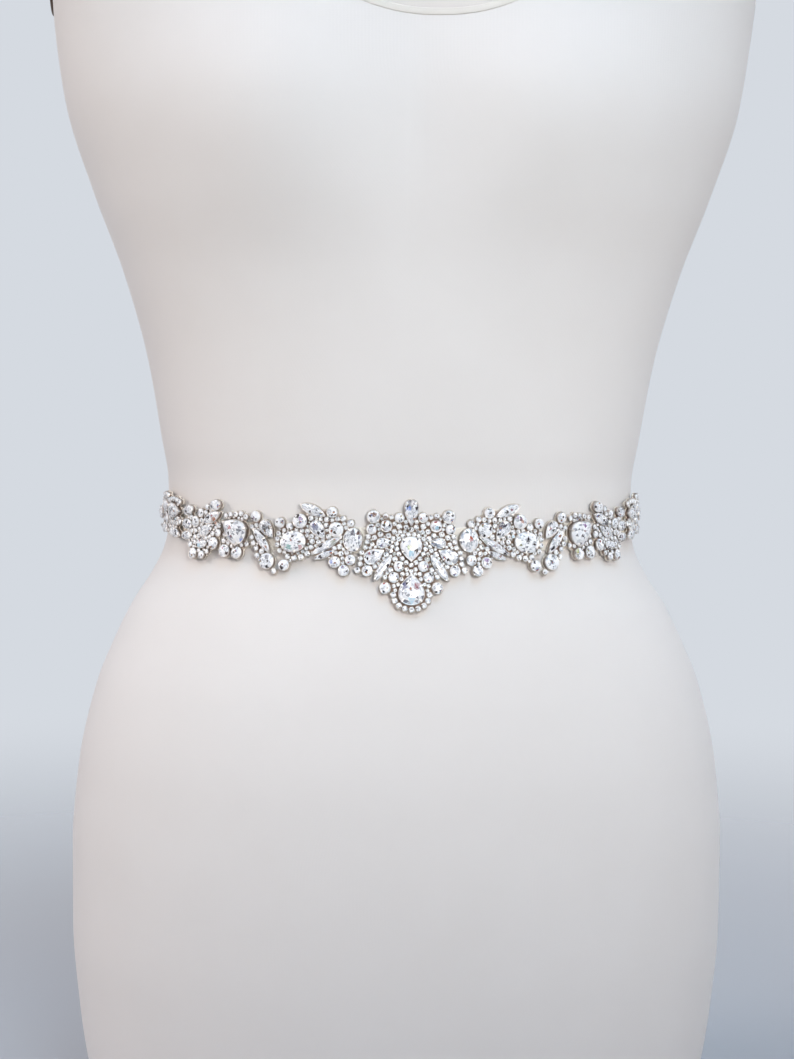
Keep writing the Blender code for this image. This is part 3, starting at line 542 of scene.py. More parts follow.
stained_beech, shader = new_material("dark_stained_beech", {"Roughness": 0.42})
tree = stained_beech.node_tree
where = add_node(tree, "ShaderNodeTexCoord")
stretched = add_node(tree, "ShaderNodeMapping", None, {
    "Vector": where.outputs["Object"],
    "Scale": (1 / (GRAIN_SPACING * MM), 1 / (GRAIN_SPACING * MM), GRAIN_PER_METRE_ALONG),
})
grain = noise(tree, stretched.outputs["Vector"], 1.0, 5.0)
stain = blend(tree, grain, *STAIN_COLOURS)
add_relief(tree, shader, grain, 0.2, GRAIN_DEPTH)
tree.links.new(stain, shader.inputs["Base Color"])


def board(node, centre, half_sizes, thickness, axis):
    """A rounded-over oval board: rings from the middle of one face, over the edge, to the
    other, each an ellipse smaller than the board by the edge's quarter rounds."""
    turn = np.linspace(0, math.pi, BOARD_EDGE_STEPS)
    radius = thickness / 2
    middle = half_sizes[0] - BOARD_MIDDLE
    inset = np.concatenate([[middle], radius * (1 - np.sin(turn)), [middle]])
    level = np.concatenate([[-radius], -radius * np.cos(turn), [radius]])
    angle = np.linspace(0, 2 * math.pi, BOARD_SIDES, endpoint=False)
    shrink = 1 - inset / half_sizes[0]
    a = np.outer(shrink, half_sizes[0] * np.cos(angle))
    b = np.outer(shrink, half_sizes[1] * np.sin(angle))
    c = np.broadcast_to(level[:, None], a.shape)
    local = [c, a, b] if axis == "X" else [a, b, c]
    points = np.stack(local, axis=-1) + np.array(centre)
    made = new_object(f"{node}_beech", points, tube_faces(len(level), BOARD_SIDES), stained_beech)
    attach(made, "root")
    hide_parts(node)


for side, node in ((-1, "arm_board_left"), (1, "arm_board_right")):
    middle = side * (ARM_END_X + BOARD_GAP + ARM_BOARD_THICKNESS / 2)
    half_sizes = (ARM_BOARD_HALF_DEPTH, ARM_BOARD_HALF_HEIGHT)
    board(node, (middle, ARM_BOARD_Y, ARM_BOARD_HEIGHT), half_sizes, ARM_BOARD_THICKNESS, "X")
centre = (0, 0, FORM_HEIGHT + BOARD_GAP + NECK_BOARD_THICKNESS / 2)
board("neck_board", centre, (NECK_BOARD_RADIUS, NECK_BOARD_RADIUS), NECK_BOARD_THICKNESS, "Z")


# ---- Ribbon ------------------------------------------------------------------------
# Double-faced ivory satin ribbon, 12 mm wide with woven edges. It lies flat round the
# waist behind the crystals, and is drawn into lengthwise pleats where it enters the knot.

BAND_DIP = 4
RIBBON_WIDTH = 12
RIBBON_OUT = 0.45
RIBBON_THICKNESS = 0.5
RIBBON_RISE = 1
RIBBON_SPLIT = 88
RIBBON_STEP = 1.5
RIBBON_COLUMNS = 33
SEAM_GAP = 0.3
GATHER_LENGTH = 26
GATHER_WIDTH = 9
PLEAT_DEPTH = 0.45
PLEATS = 3
PLEATS_DIE_POWER = 1.5
KNOT_HALF_WIDTH = 7.5
SATIN_COLOUR = "#EDE8DE"
THREAD_SPACING = 0.35
THREADS_PER_METRE_ALONG = 60
THREAD_DEPTH = 0.08

WAIST_HEIGHT = 300
WAIST_TAPE_MARKS = 4001
waist_turns = np.linspace(-math.pi, math.pi, WAIST_TAPE_MARKS)
waist_loop = form_point(waist_turns, WAIST_HEIGHT)
waist_steps = np.linalg.norm(np.diff(waist_loop, axis=0), axis=1)
half_girth = waist_steps.sum() / 2
waist_tape = np.concatenate([[0], np.cumsum(waist_steps)]) - half_girth


def on_waist(s, v, out):
    """Points at s along the waist's tape, v above the sash's line and out from the form."""
    turn = np.interp(s, waist_tape, waist_turns)
    height = WAIST_HEIGHT - BAND_DIP * np.cos(turn) + v
    point, _, outward = form_frame(turn, height)
    return point + outward * np.asarray(out, float)[..., None]


# Satin weave: long floating threads along the ribbon give a soft streak of light across
# them, and the back of the same weave looks the same. The real threads are a tenth of a
# millimetre apart and are drawn three times as wide.
satin, shader = new_material("ivory_satin_ribbon", {
    "Base Color": linear(SATIN_COLOUR),
    "Roughness": 0.34,
    "Anisotropic": 0.55,
    "Sheen Weight": 0.25,
    "Sheen Roughness": 0.35,
})
tree = satin.node_tree
cloth = add_node(tree, "ShaderNodeUVMap", {"uv_map": "cloth"})
stretched = add_node(tree, "ShaderNodeMapping", None, {
    "Vector": cloth.outputs["UV"],
    "Scale": (THREADS_PER_METRE_ALONG, 1 / (THREAD_SPACING * MM), 1.0),
})
threads = noise(tree, stretched.outputs["Vector"], 1.0, 2.0)
add_relief(tree, shader, threads, 0.25, THREAD_DEPTH)


def eased(share):
    """A share held between nought and one, and eased at both ends: 3t^2 - 2t^3."""
    share = np.clip(share, 0, 1)
    return share * share * (3 - 2 * share)


def ribbon_piece(node, grid, along, across):
    """A ribbon's open grid given its thickness, its UVs and its calls. Its width and length
    are those of the cut ribbon, whatever the pleats do to them."""
    made = new_object(f"{node}_satin", grid, grid_faces(*grid.shape[:2]), satin)
    u = np.broadcast_to(along[:, None], grid.shape[:2])
    v = np.broadcast_to(across[None, :] * RIBBON_WIDTH, grid.shape[:2])
    set_uv(made, grid_corners(u), grid_corners(v))
    wall = made.modifiers.new("Weave", "SOLIDIFY")
    wall.thickness = RIBBON_THICKNESS * MM
    wall.offset = 1
    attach(made, "root")
    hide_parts(node)


def ribbon_stretch(node, start, end):
    """The band from start to end along the tape. Near the knot its width eases down to the
    gathered one, while a cosine across it raises its pleats."""
    s = np.linspace(start, end, int(abs(end - start) / RIBBON_STEP) + 1)
    flatness = eased((half_girth - KNOT_HALF_WIDTH - np.abs(s)) / GATHER_LENGTH)[:, None]
    across = np.linspace(-0.5, 0.5, RIBBON_COLUMNS)
    v = RIBBON_RISE + across * (GATHER_WIDTH + (RIBBON_WIDTH - GATHER_WIDTH) * flatness)
    pleat = 0.5 + 0.5 * np.cos(2 * math.pi * PLEATS * across)
    out = RIBBON_OUT + PLEAT_DEPTH * pleat * (1 - flatness) ** PLEATS_DIE_POWER
    grid = on_waist(np.broadcast_to(s[:, None], v.shape), v, out)
    # Rows run to the right and columns up, so that the faces look outwards.
    ribbon_piece(node, grid[:, ::-1], s, across)


side_start = RIBBON_SPLIT + SEAM_GAP
side_end = half_girth - KNOT_HALF_WIDTH - SEAM_GAP
stretches = {
    "ribbon_left": (-side_end, -side_start),
    "ribbon_front": (-RIBBON_SPLIT, RIBBON_SPLIT),
    "ribbon_right": (side_start, side_end),
}
for node, (start, end) in stretches.items():
    ribbon_stretch(node, start, end)


# ---- Knot --------------------------------------------------------------------------
# The ribbon is tied at the centre back in one small flat knot. The upper turn of it is
# pulled into upright creases, and its back lies close to the form.

KNOT_HALF_HEIGHT = 7.5
KNOT_THICKNESS = 8
KNOT_OUT = 0.35
KNOT_CREASES = 3
KNOT_CREASE_DEPTH = 0.8
KNOT_CREASE_LEAN = 0.22
KNOT_CREASE_TURN = 0.4
# Powers under one make the knot's height, sides and face squarer than an ellipsoid's.
KNOT_UPRIGHT_POWER = 0.55
KNOT_SIDE_POWER = 0.7
KNOT_FACE_POWER = 0.6
KNOT_COLUMNS = 120
KNOT_ROWS = 60

# A squared-off ellipsoid: its width and depth are powers of the sine and cosine of the turn,
# both drawn in by a power of the lift's cosine. A cosine across its front presses creases in.
knot_turn, knot_lift = np.meshgrid(
    np.arange(KNOT_COLUMNS) * 2 * math.pi / KNOT_COLUMNS,
    (np.arange(1, KNOT_ROWS) / KNOT_ROWS - 0.5) * math.pi,
)
fullness = power_of(np.cos(knot_lift), KNOT_UPRIGHT_POWER)
knot_x = power_of(np.sin(knot_turn), KNOT_SIDE_POWER) * fullness
knot_v = KNOT_HALF_HEIGHT * np.sin(knot_lift)
lean = KNOT_CREASE_LEAN * np.sin(knot_lift + KNOT_CREASE_TURN)
crease = 0.5 + 0.5 * np.cos(math.pi * KNOT_CREASES * (knot_x + 1 + lean))
half = KNOT_THICKNESS / 2
rise = half * power_of(np.cos(knot_turn), KNOT_FACE_POWER) * fullness
rise = rise - KNOT_CREASE_DEPTH * crease**2 * np.clip(np.cos(knot_turn), 0, 1) ** 0.5
knot_out = KNOT_OUT + half + rise
# The tape ends at the centre back, so each side is placed from its own end of it.
from_right = on_waist(half_girth - KNOT_HALF_WIDTH * knot_x, RIBBON_RISE + knot_v, knot_out)
from_left = on_waist(-half_girth - KNOT_HALF_WIDTH * knot_x, RIBBON_RISE + knot_v, knot_out)
knot_body = np.where(knot_x[..., None] >= 0, from_right, from_left)
tips = on_waist(
    np.array([half_girth, half_girth]),
    RIBBON_RISE + np.array([-KNOT_HALF_HEIGHT, KNOT_HALF_HEIGHT]),
    np.full(2, KNOT_OUT + half),
)
column = np.arange(KNOT_COLUMNS)
after = (column + 1) % KNOT_COLUMNS
last = (KNOT_ROWS - 2) * KNOT_COLUMNS
under, top = last + KNOT_COLUMNS, last + KNOT_COLUMNS + 1
knot_faces = grid_faces(KNOT_ROWS - 1, KNOT_COLUMNS, closed=True)[:, ::-1].tolist()
knot_faces += np.stack([0 * column + under, column, after], axis=1).tolist()
knot_faces += np.stack([0 * column + top, last + after, last + column], axis=1).tolist()
knot = new_object("ribbon_knot_satin", np.concatenate([knot_body.reshape(-1, 3), tips]), knot_faces, satin)
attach(knot, "root")
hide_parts("ribbon_knot")


# ---- Tails -------------------------------------------------------------------------
# The two ends of the ribbon hang from the knot down the back of the form. They are cut
# on the slant so that they don't fray, and fall in a slow ripple.

TAIL_DROP = 258
TAIL_TOP_X = 5.2
TAIL_SPREAD = 26
TAIL_WIDTH_AT_KNOT = 8.6
TAIL_LOOSE_AFTER = 40
TAIL_SLANT = 7
TAIL_ROWS = 150
TAIL_COLUMNS = 25
TAIL_SPREAD_POWER = 1.15
TAIL_SLANT_POWER = 12
TAIL_CLEAR = 1.3
TAIL_LIFT_AT_KNOT = 2.4
TAIL_RIPPLE = 2.2
TAIL_RIPPLE_LENGTH = 96
TAIL_RIPPLE_SHIFT = 0.6
TAIL_CURL = 0.45 * TAIL_RIPPLE
TAIL_CURL_PACE = 0.7


def hanging_depths(heights):
    """How far back a tail hangs: taut over the hollow of the back, straight off the seat."""
    depths = section_at(heights)[:, 2] + TAIL_CLEAR
    widest = int(np.argmax(depths))
    depths[widest:] = depths[widest]
    corners = [0]
    while corners[-1] < widest:
        here = corners[-1]
        ahead = np.arange(here + 1, widest + 1)
        slopes = (depths[ahead] - depths[here]) / (heights[here] - heights[ahead])
        corners.append(int(ahead[np.argmax(slopes)]))
    corners += list(range(widest + 1, len(heights)))
    return np.interp(-heights, -heights[corners], depths[corners])


def tail(node, side):
    """A tail's middle line spreads by a power of its length while its width eases open, and
    a cosine down it makes the ripple, with a sine across it for the curl."""
    top = WAIST_HEIGHT + BAND_DIP + RIBBON_RISE - KNOT_HALF_HEIGHT - SEAM_GAP
    down = np.linspace(0, 1, TAIL_ROWS)[:, None]
    across = np.linspace(-0.5, 0.5, TAIL_COLUMNS)
    heights = top - TAIL_DROP * down[:, 0]
    loosened = eased(down * TAIL_DROP / TAIL_LOOSE_AFTER)
    width = TAIL_WIDTH_AT_KNOT + (RIBBON_WIDTH - TAIL_WIDTH_AT_KNOT) * loosened
    x = TAIL_TOP_X + TAIL_SPREAD * down**TAIL_SPREAD_POWER + across * width
    z = heights[:, None] - TAIL_SLANT * (across + 0.5) * down**TAIL_SLANT_POWER
    shape = section_at(heights)
    rounding = (1 - (x / shape[:, :1]) ** shape[:, 3:]) ** (1 / shape[:, 3:])
    phase = 2 * math.pi * down * TAIL_DROP / TAIL_RIPPLE_LENGTH + TAIL_RIPPLE_SHIFT * side
    ripple = TAIL_RIPPLE * (0.5 - 0.5 * np.cos(phase)) * loosened
    curl = TAIL_CURL * across * np.sin(TAIL_CURL_PACE * phase) * loosened
    pleat = PLEAT_DEPTH * np.cos(2 * math.pi * PLEATS * across)
    at_knot = (TAIL_LIFT_AT_KNOT + pleat) * (1 - loosened)
    off_form = ripple + np.abs(curl) + curl + at_knot + RIBBON_THICKNESS / 2
    y = hanging_depths(heights)[:, None] * rounding + off_form
    grid = np.stack([side * x, y, z], axis=-1)
    if side < 0:
        grid = grid[:, ::-1]
    ribbon_piece(node, grid, TAIL_DROP * down[:, 0], across)


tail("ribbon_tail_left", -1)
tail("ribbon_tail_right", 1)


# ---- Applique backings -------------------------------------------------------------
# Each applique is built on stiff grey-beige felt, trimmed close round its stones
# after they are set, and sewn flat onto the ribbon. Its edge shows, and the gaps between
# the stones, where its colour is darkened by painted shade, deeper farther from the edge.

BACKING_THICKNESS = 1.0
BACKING_OUT = 1.65
BACKING_MARGIN = 0.15
LINK_REACH = 2.2
LINK_WIDTH = 1.6
BACKING_GRID = 2.5
BACKING_GRID_CLEAR = 0.6
# How far in from the backing's edge the painted shade between the stones grows to its full depth.
GAP_SHADE_REACH = 1.5
FILL_GRID = 0.3
FILL_MOST = 2.7
FILL_LEAST = 1.2
SMALLEST_CHATON = 1.45
FELT_COLOURS = ("#DDD6CC", "#C6BCB0")
# The painted shade of the gaps between the stones.
GAP_SHADE_COLOUR = "#948072"
FIBRE_SPACING = 0.5
PEAR_POWER = 0.8
NAVETTE_POWER = 0.45
OUTLINE_STEP = 0.12
OUTLINE_SIDES = 24
HALO_STEPS = 240

# A round stone's width is its length, and is left out.
Stone = namedtuple("Stone", "cut s v length width angle", defaults=(None, 0))
Chaton = namedtuple("Chaton", "s v size")
Halo = namedtuple("Halo", "stone gap size spacing start end")
Applique = namedtuple("Applique", "stones chatons beads edge")

# Stones on the centre line, point down, point down and point up.
CENTRE_LINE_STONES = [
    Stone("pear", 0, 14.6, 12.0, 6.6, -90),
    Stone("pear", 0, -2.9, 11.6, 10.2, -90),
    Stone("pear", 0, -21.7, 14.6, 12.2, 90),
]
# A row of chatons follows part of a stone's outline: start and end are shares of the way
# round it, counted from its point.
CENTRE_HALOS = [
    Halo(CENTRE_LINE_STONES[1], 1.55, 2.35, 2.6, 0.0, 1.0),
    Halo(CENTRE_LINE_STONES[2], 1.6, 2.75, 3.0, 0.28, 0.72),
]
# The right half of the medallion, and the five sprays of the right side.
STONES = {
    "centre": [
        Stone("round", 5.3, 12.1, 4.7),
        Stone("round", 11.2, 8.2, 5.6),
        Stone("round", 16.9, 12.4, 6.2),
        Stone("round", 17.8, 6.6, 4.9),
        Stone("pear", 11.9, -0.1, 7.8, 5.0, 175),
        Stone("pear", 16.4, -6.2, 10.0, 6.8, 150),
        Stone("navette", 12.5, -11.9, 14.2, 4.3, -57),
        Stone("round", 5.4, -10.9, 5.0),
        Stone("round", 7.6, -16.1, 5.0),
        Stone("round", 11.2, -20.9, 5.4),
        Stone("round", 19.2, -13.2, 5.2),
    ],
    "spray_1": [
        Stone("oval", 26.0, 1.2, 11.0, 9.0, 90),
        Stone("round", 33.6, 6.0, 7.0),
        Stone("round", 35.4, 13.9, 5.2),
        Stone("navette", 44.2, 14.6, 12.6, 4.8, 22),
        Stone("round", 50.0, 9.4, 7.0),
        Stone("pear", 41.6, 5.5, 9.9, 6.3, -128),
        Stone("navette", 37.7, -1.9, 16.2, 3.9, -33),
        Stone("navette", 38.7, -6.6, 9.8, 2.9, -24),
        Stone("oval", 52.9, -0.9, 12.4, 10.0, -10),
        Stone("round", 54.9, 6.5, 3.6),
        Stone("round", 59.5, 8.0, 5.0),
        Stone("round", 26.8, -8.3, 5.0),
        Stone("round", 29.4, -13.4, 5.2),
        Stone("round", 33.6, -9.6, 5.4),
        Stone("round", 56.3, -12.2, 5.4),
    ],
    "spray_2": [
        Stone("pear", 65.6, 4.6, 9.4, 6.0, -128),
        Stone("navette", 68.2, -1.3, 13.8, 4.2, 49),
        Stone("round", 64.4, -10.9, 7.6),
        Stone("round", 71.3, 10.2, 5.2),
    ],
    "spray_3": [
        Stone("pear", 82.2, 3.0, 14.0, 11.8, 30),
        Stone("round", 80.0, -8.0, 5.8),
        Stone("round", 86.7, -7.8, 6.2),
    ],
    "spray_4": [
        Stone("oval", 93.2, 13.8, 6.8, 5.2, -10),
        Stone("navette", 95.6, 7.8, 12.0, 4.8, -26),
        Stone("pear", 98.6, 1.9, 10.4, 5.0, 150),
        Stone("round", 93.7, -4.9, 5.8),
        Stone("oval", 101.3, -5.8, 7.6, 4.4, -4),
        Stone("round", 105.6, -10.8, 5.2),
        Stone("round", 99.9, -11.0, 4.0),
        Stone("round", 106.1, 4.9, 5.4),
        Stone("round", 102.6, 9.4, 4.2),
        Stone("round", 91.8, 0.7, 3.8),
        Stone("oval", 111.6, 9.8, 7.6, 4.8, -15),
        Stone("oval", 112.6, 3.2, 8.0, 5.0),
        Stone("oval", 112.6, -2.8, 8.4, 4.0),
        Stone("round", 108.9, -6.9, 3.2),
    ],
    "spray_5": [
        Stone("pear", 124.8, 8.4, 12.0, 7.0, 180),
        Stone("navette", 124.4, -2.6, 12.8, 4.4, 6),
        Stone("oval", 136.0, 9.6, 8.0, 5.6, 10),
        Stone("navette", 138.2, -1.4, 12.6, 4.4, 4),
        Stone("round", 134.2, 3.8, 4.6),
        Stone("pear", 146.2, 5.6, 11.0, 6.4),
    ],
}
CHATONS = {
    "centre": [
        Chaton(2.3, 7.7, 2.5),
        Chaton(5.4, 8.0, 2.8),
        Chaton(8.9, 12.3, 2.2),
        Chaton(11.5, 12.8, 2.6),
        Chaton(7.6, 5.6, 2.6),
        Chaton(10.2, 3.7, 2.6),
        Chaton(13.8, 4.3, 2.8),
        Chaton(19.3, 3.0, 2.6),
        Chaton(19.6, 0.3, 2.3),
        Chaton(16.5, 2.6, 2.6),
        Chaton(20.3, -2.4, 2.3),
        Chaton(21.9, -4.8, 2.4),
        Chaton(22.4, -7.5, 2.4),
        Chaton(22.4, -10.1, 2.5),
        Chaton(23.5, -13.0, 3.0),
        Chaton(17.4, -0.8, 2.1),
        Chaton(1.9, -12.3, 2.1),
        Chaton(3.8, -14.5, 2.2),
        Chaton(9.1, -3.8, 2.2),
        Chaton(7.5, -19.9, 2.0),
    ],
    "spray_1": [
        Chaton(27.1, 9.0, 3.6),
        Chaton(37.9, 10.5, 2.7),
        Chaton(30.5, 11.1, 2.8),
        Chaton(46.7, 4.7, 2.6),
        Chaton(44.7, 2.4, 2.4),
        Chaton(44.4, -0.3, 2.6),
        Chaton(44.7, -3.1, 2.5),
        Chaton(41.5, -0.6, 2.4),
        Chaton(46.2, -6.2, 2.8),
        Chaton(48.9, -7.8, 2.8),
        Chaton(51.9, -8.4, 2.9),
        Chaton(55.0, -8.0, 2.8),
        Chaton(60.2, 2.9, 2.5),
        Chaton(60.7, 0.1, 2.5),
        Chaton(60.5, -2.8, 2.5),
        Chaton(59.1, -5.6, 2.6),
        Chaton(31.1, -5.6, 2.6),
        Chaton(57.6, 4.6, 2.0),
    ],
    "spray_2": [
        Chaton(73.4, -0.1, 2.5),
        Chaton(72.3, -2.8, 2.6),
        Chaton(70.6, -5.2, 2.6),
        Chaton(69.6, -8.6, 2.8),
        Chaton(60.5, -15.4, 2.8),
        Chaton(71.0, 6.1, 2.4),
        Chaton(73.4, 5.2, 2.4),
    ],
    "spray_3": [
        Chaton(76.5, 9.6, 2.7),
        Chaton(79.0, 10.9, 2.7),
        Chaton(81.8, 10.4, 2.7),
        Chaton(84.6, 10.0, 2.7),
        Chaton(87.3, 9.3, 2.6),
        Chaton(88.1, -2.9, 2.8),
        Chaton(87.9, 0.1, 2.4),
        Chaton(75.6, -3.7, 2.4),
        Chaton(83.4, -5.2, 1.9),
    ],
    "spray_4": [
        Chaton(91.3, 4.4, 2.6),
        Chaton(98.3, 12.5, 2.9),
        Chaton(106.4, 0.4, 2.6),
        Chaton(106.5, -3.0, 2.6),
        Chaton(96.9, -1.9, 2.2),
        Chaton(97.1, -9.0, 2.4),
    ],
    "spray_5": [
        Chaton(119.7, 3.5, 2.7),
        Chaton(122.6, 2.4, 2.7),
        Chaton(125.5, 2.4, 2.7),
        Chaton(128.4, 2.7, 2.7),
        Chaton(119.8, 12.9, 2.7),
        Chaton(122.7, 13.6, 2.7),
        Chaton(125.7, 13.8, 2.7),
        Chaton(128.6, 13.5, 2.6),
        Chaton(131.4, 12.6, 2.6),
        Chaton(133.5, 14.9, 2.9),
        Chaton(136.7, 15.1, 2.9),
        Chaton(139.8, 14.4, 2.8),
        Chaton(141.9, 12.0, 2.6),
    ],
}


def width_of(stone):
    """A stone's width, which for a round one is its length."""
    return stone.width or stone.length


def outline(stone, turn, grow=0.0, share=1.0):
    """Points of a stone's outline about its own middle, its point or right end along +x.

    Rounds and ovals are ellipses. A pear narrows to its point by a power of the sine of half
    the turn, and a navette to both points by a power of the sine. Growing moves each point
    out square to the outline, and the share then shrinks it about the middle.
    """

    def curve(t):
        """The outline before it is grown. A pear's is divided by its own fullest width."""
        y = np.sin(t)
        if stone.cut == "pear":
            fullest = 2 * math.acos(math.sqrt(1 / (2 + PEAR_POWER)))
            most = math.sin(fullest) * math.sin(fullest / 2) ** PEAR_POWER
            y = y * np.abs(np.sin(t / 2)) ** PEAR_POWER / most
        if stone.cut == "navette":
            y = y * np.abs(y) ** NAVETTE_POWER
        return np.stack([np.cos(t) * stone.length / 2, y * width_of(stone) / 2], axis=-1)

    along = curve(turn + OUTLINE_STEP) - curve(turn - OUTLINE_STEP)
    along /= np.linalg.norm(along, axis=-1, keepdims=True)
    square = np.stack([along[..., 1], -along[..., 0]], axis=-1)
    return (curve(turn) + grow * square) * share


def on_band(stone, local):
    """A stone's own points turned by its angle and moved to its place on the band."""
    angle = math.radians(stone.angle)
    x = local[..., 0] * math.cos(angle) - local[..., 1] * math.sin(angle)
    y = local[..., 0] * math.sin(angle) + local[..., 1] * math.cos(angle)
    return np.stack([stone.s + x, stone.v + y], axis=-1)


def halo_chatons(halo):
    """Chatons evenly spaced along part of a stone's outline, grown by the halo's gap."""
    turn = np.linspace(0, 2 * math.pi, HALO_STEPS + 1)
    loop = on_band(halo.stone, outline(halo.stone, turn, halo.gap))
    travelled = np.concatenate([[0], np.cumsum(np.hypot(*np.diff(loop, axis=0).T))])
    share = halo.end - halo.start
    count = round(share * travelled[-1] / halo.spacing)
    steps = np.arange(count if share == 1 else count + 1) / count
    places = (halo.start + share * steps) * travelled[-1]
    s = np.interp(places, travelled, loop[:, 0])
    v = np.interp(places, travelled, loop[:, 1])
    return [Chaton(a, b, halo.size) for a, b in zip(s, v)]


def mirrored(stone):
    """The same stone or chaton on the other side of the centre front."""
    if isinstance(stone, Chaton):
        return stone._replace(s=-stone.s)
    return stone._replace(s=-stone.s, angle=180 - stone.angle)


def as_stone(chaton):
    """A chaton or bead as a round stone."""
    return Stone("round", chaton.s, chaton.v, chaton.size)


def link_strip(a, b):
    """A narrow strip of backing from the middle of one outline to the middle of another."""
    start, end = a.mean(axis=0), b.mean(axis=0)
    side = np.array([start[1] - end[1], end[0] - start[0]])
    side = side / np.hypot(*side) * LINK_WIDTH / 2
    return np.array([start - side, end - side, end + side, start + side])


def loop_area(loop):
    """The area inside a closed loop, by the shoelace formula."""
    after = np.roll(loop, -1, axis=0)
    return 0.5 * np.sum(loop[:, 0] * after[:, 1] - after[:, 0] * loop[:, 1])


def filled(points, outlines):
    """The places and triangles that fill outlines, given as lists of numbers of points."""
    loose = [Vector(p) for p in points]
    keep_inside, join_within = 1, 1e-5
    places, _, triangles, *_ = geometry.delaunay_2d_cdt(loose, [], outlines, keep_inside, join_within)
    return np.array([tuple(place) for place in places]), triangles


def outer_loop(outlines):
    """The outer edge of overlapping outlines: the triangles' edges that no second one uses."""
    ends = np.cumsum([len(part) for part in outlines])
    numbers = [list(range(end - len(part), end)) for part, end in zip(outlines, ends)]
    places, triangles = filled(np.concatenate(outlines), numbers)
    edges = {(a, b) for tri in triangles for a, b in zip(tri, tri[1:] + tri[:1])}
    following = {a: b for a, b in edges if (b, a) not in edges}
    loops = []
    while following:
        first, second = following.popitem()
        loop = [first]
        while second != first:
            loop.append(second)
            second = following.pop(second)
        loops.append(places[loop])
    return max(loops, key=loop_area)


def inside(points, loop):
    """Which points lie inside a closed loop, by counting the edges to their right."""
    x, y = points[:, 0:1], points[:, 1:2]
    a, b = loop, np.roll(loop, -1, axis=0)
    spans = (a[:, 1] > y) != (b[:, 1] > y)
    slope = (b[:, 0] - a[:, 0]) / np.where(b[:, 1] == a[:, 1], 1, b[:, 1] - a[:, 1])
    crossing = a[:, 0] + (y - a[:, 1]) * slope
    return (spans & (x < crossing)).sum(axis=1) % 2 == 1


def distance_to(points, loop):
    """How far points are from a closed loop's nearest edge."""
    best = np.full(len(points), np.inf)
    for a, b in zip(loop, np.roll(loop, -1, axis=0)):
        share = np.clip((points - a) @ (b - a) / max((b - a) @ (b - a), 1e-9), 0, 1)
        best = np.minimum(best, np.hypot(*(points - a - share[:, None] * (b - a)).T))
    return best


round_turn = np.linspace(0, 2 * math.pi, OUTLINE_SIDES, endpoint=False)


def backing_edge(stones):
    """The edge of a backing trimmed round its stones, with strips across narrow gaps."""
    grown = [on_band(stone, outline(stone, round_turn, BACKING_MARGIN)) for stone in stones]
    centres = np.array([[stone.s, stone.v] for stone in stones])
    radii = np.array([stone.length / 2 for stone in stones])
    links = []
    for k, a in enumerate(grown):
        near = np.hypot(*(centres[:k] - centres[k]).T) < radii[:k] + radii[k] + LINK_REACH
        for j in np.flatnonzero(near):
            gap = np.hypot(*(a[:, None] - grown[j][None, :]).transpose(2, 0, 1)).min()
            if gap < LINK_REACH:
                links.append(link_strip(a, grown[j]))
    return outer_loop(grown + links)


def gap_fillers(stones, edge, symmetric):
    """Small rounds for the gaps that are left: the largest that fits, again and again.

    A grid of places keeps the room that each has to the nearest outline, or to the backing's
    edge. A symmetric applique is searched in its right half only, and its rounds mirrored.
    """
    low, high = edge.min(axis=0), edge.max(axis=0)
    left = 0 if symmetric else low[0]
    s, v = np.meshgrid(np.arange(left, high[0], FILL_GRID), np.arange(low[1], high[1], FILL_GRID))
    places = np.stack([s.ravel(), v.ravel()], axis=1)
    places = places[inside(places, edge)]
    room = distance_to(places, edge) - BACKING_MARGIN
    if symmetric:
        room = np.where(places[:, 0] > 0, np.minimum(room, places[:, 0]), room)
    for stone in stones:
        loop = on_band(stone, outline(stone, round_turn))
        room = np.where(inside(places, loop), 0, np.minimum(room, distance_to(places, loop)))
    added = []
    while 2 * room.max() > FILL_LEAST:
        k = int(np.argmax(room))
        place = Chaton(*places[k], min(2 * room[k], FILL_MOST))
        added.append(place)
        if symmetric and place.s > 0:
            added.append(mirrored(place))
        room = np.minimum(room, np.hypot(*(places - places[k]).T) - place.size / 2)
    return added


# Every applique by its node's name. The largest fillers are chatons and the others beads.
appliques = {}
for part, stones in STONES.items():
    chatons = CHATONS[part]
    middle = part == "centre"
    if middle:
        stones = CENTRE_LINE_STONES + stones + [mirrored(stone) for stone in stones]
        chatons = chatons + [mirrored(chaton) for chaton in chatons]
        chatons += [chaton for halo in CENTRE_HALOS for chaton in halo_chatons(halo)]
    every = stones + [as_stone(chaton) for chaton in chatons]
    edge = backing_edge(every)
    fillers = gap_fillers(every, edge, middle)
    chatons = chatons + [filler for filler in fillers if filler.size >= SMALLEST_CHATON]
    beads = [filler for filler in fillers if filler.size < SMALLEST_CHATON]
    whole = Applique(stones, chatons, beads, edge)
    if middle:
        appliques["applique_centre"] = whole
    else:
        appliques[f"{part}_right"] = whole
        turned = [[mirrored(one) for one in group] for group in whole[:3]]
        appliques[f"{part}_left"] = Applique(*turned, edge[::-1] * [-1, 1])

felt, shader = new_material("grey_beige_felt_backing", {"Roughness": 0.95, "Specular IOR Level": 0.1})
tree = felt.node_tree
where = add_node(tree, "ShaderNodeTexCoord")
fibres = noise(tree, where.outputs["Object"], 1 / (FIBRE_SPACING * MM), 3.0)
felt_tone = blend(tree, fibres, *FELT_COLOURS)
# Painted shade: the felt is darkened between the stones, the more the farther from its edge.
gap_shade = add_node(tree, "ShaderNodeAttribute", {"attribute_name": "gap_shade"})
felt_with_gap_shade = blend(tree, gap_shade.outputs["Fac"], felt_tone, GAP_SHADE_COLOUR)
tree.links.new(felt_with_gap_shade, shader.inputs["Base Color"])

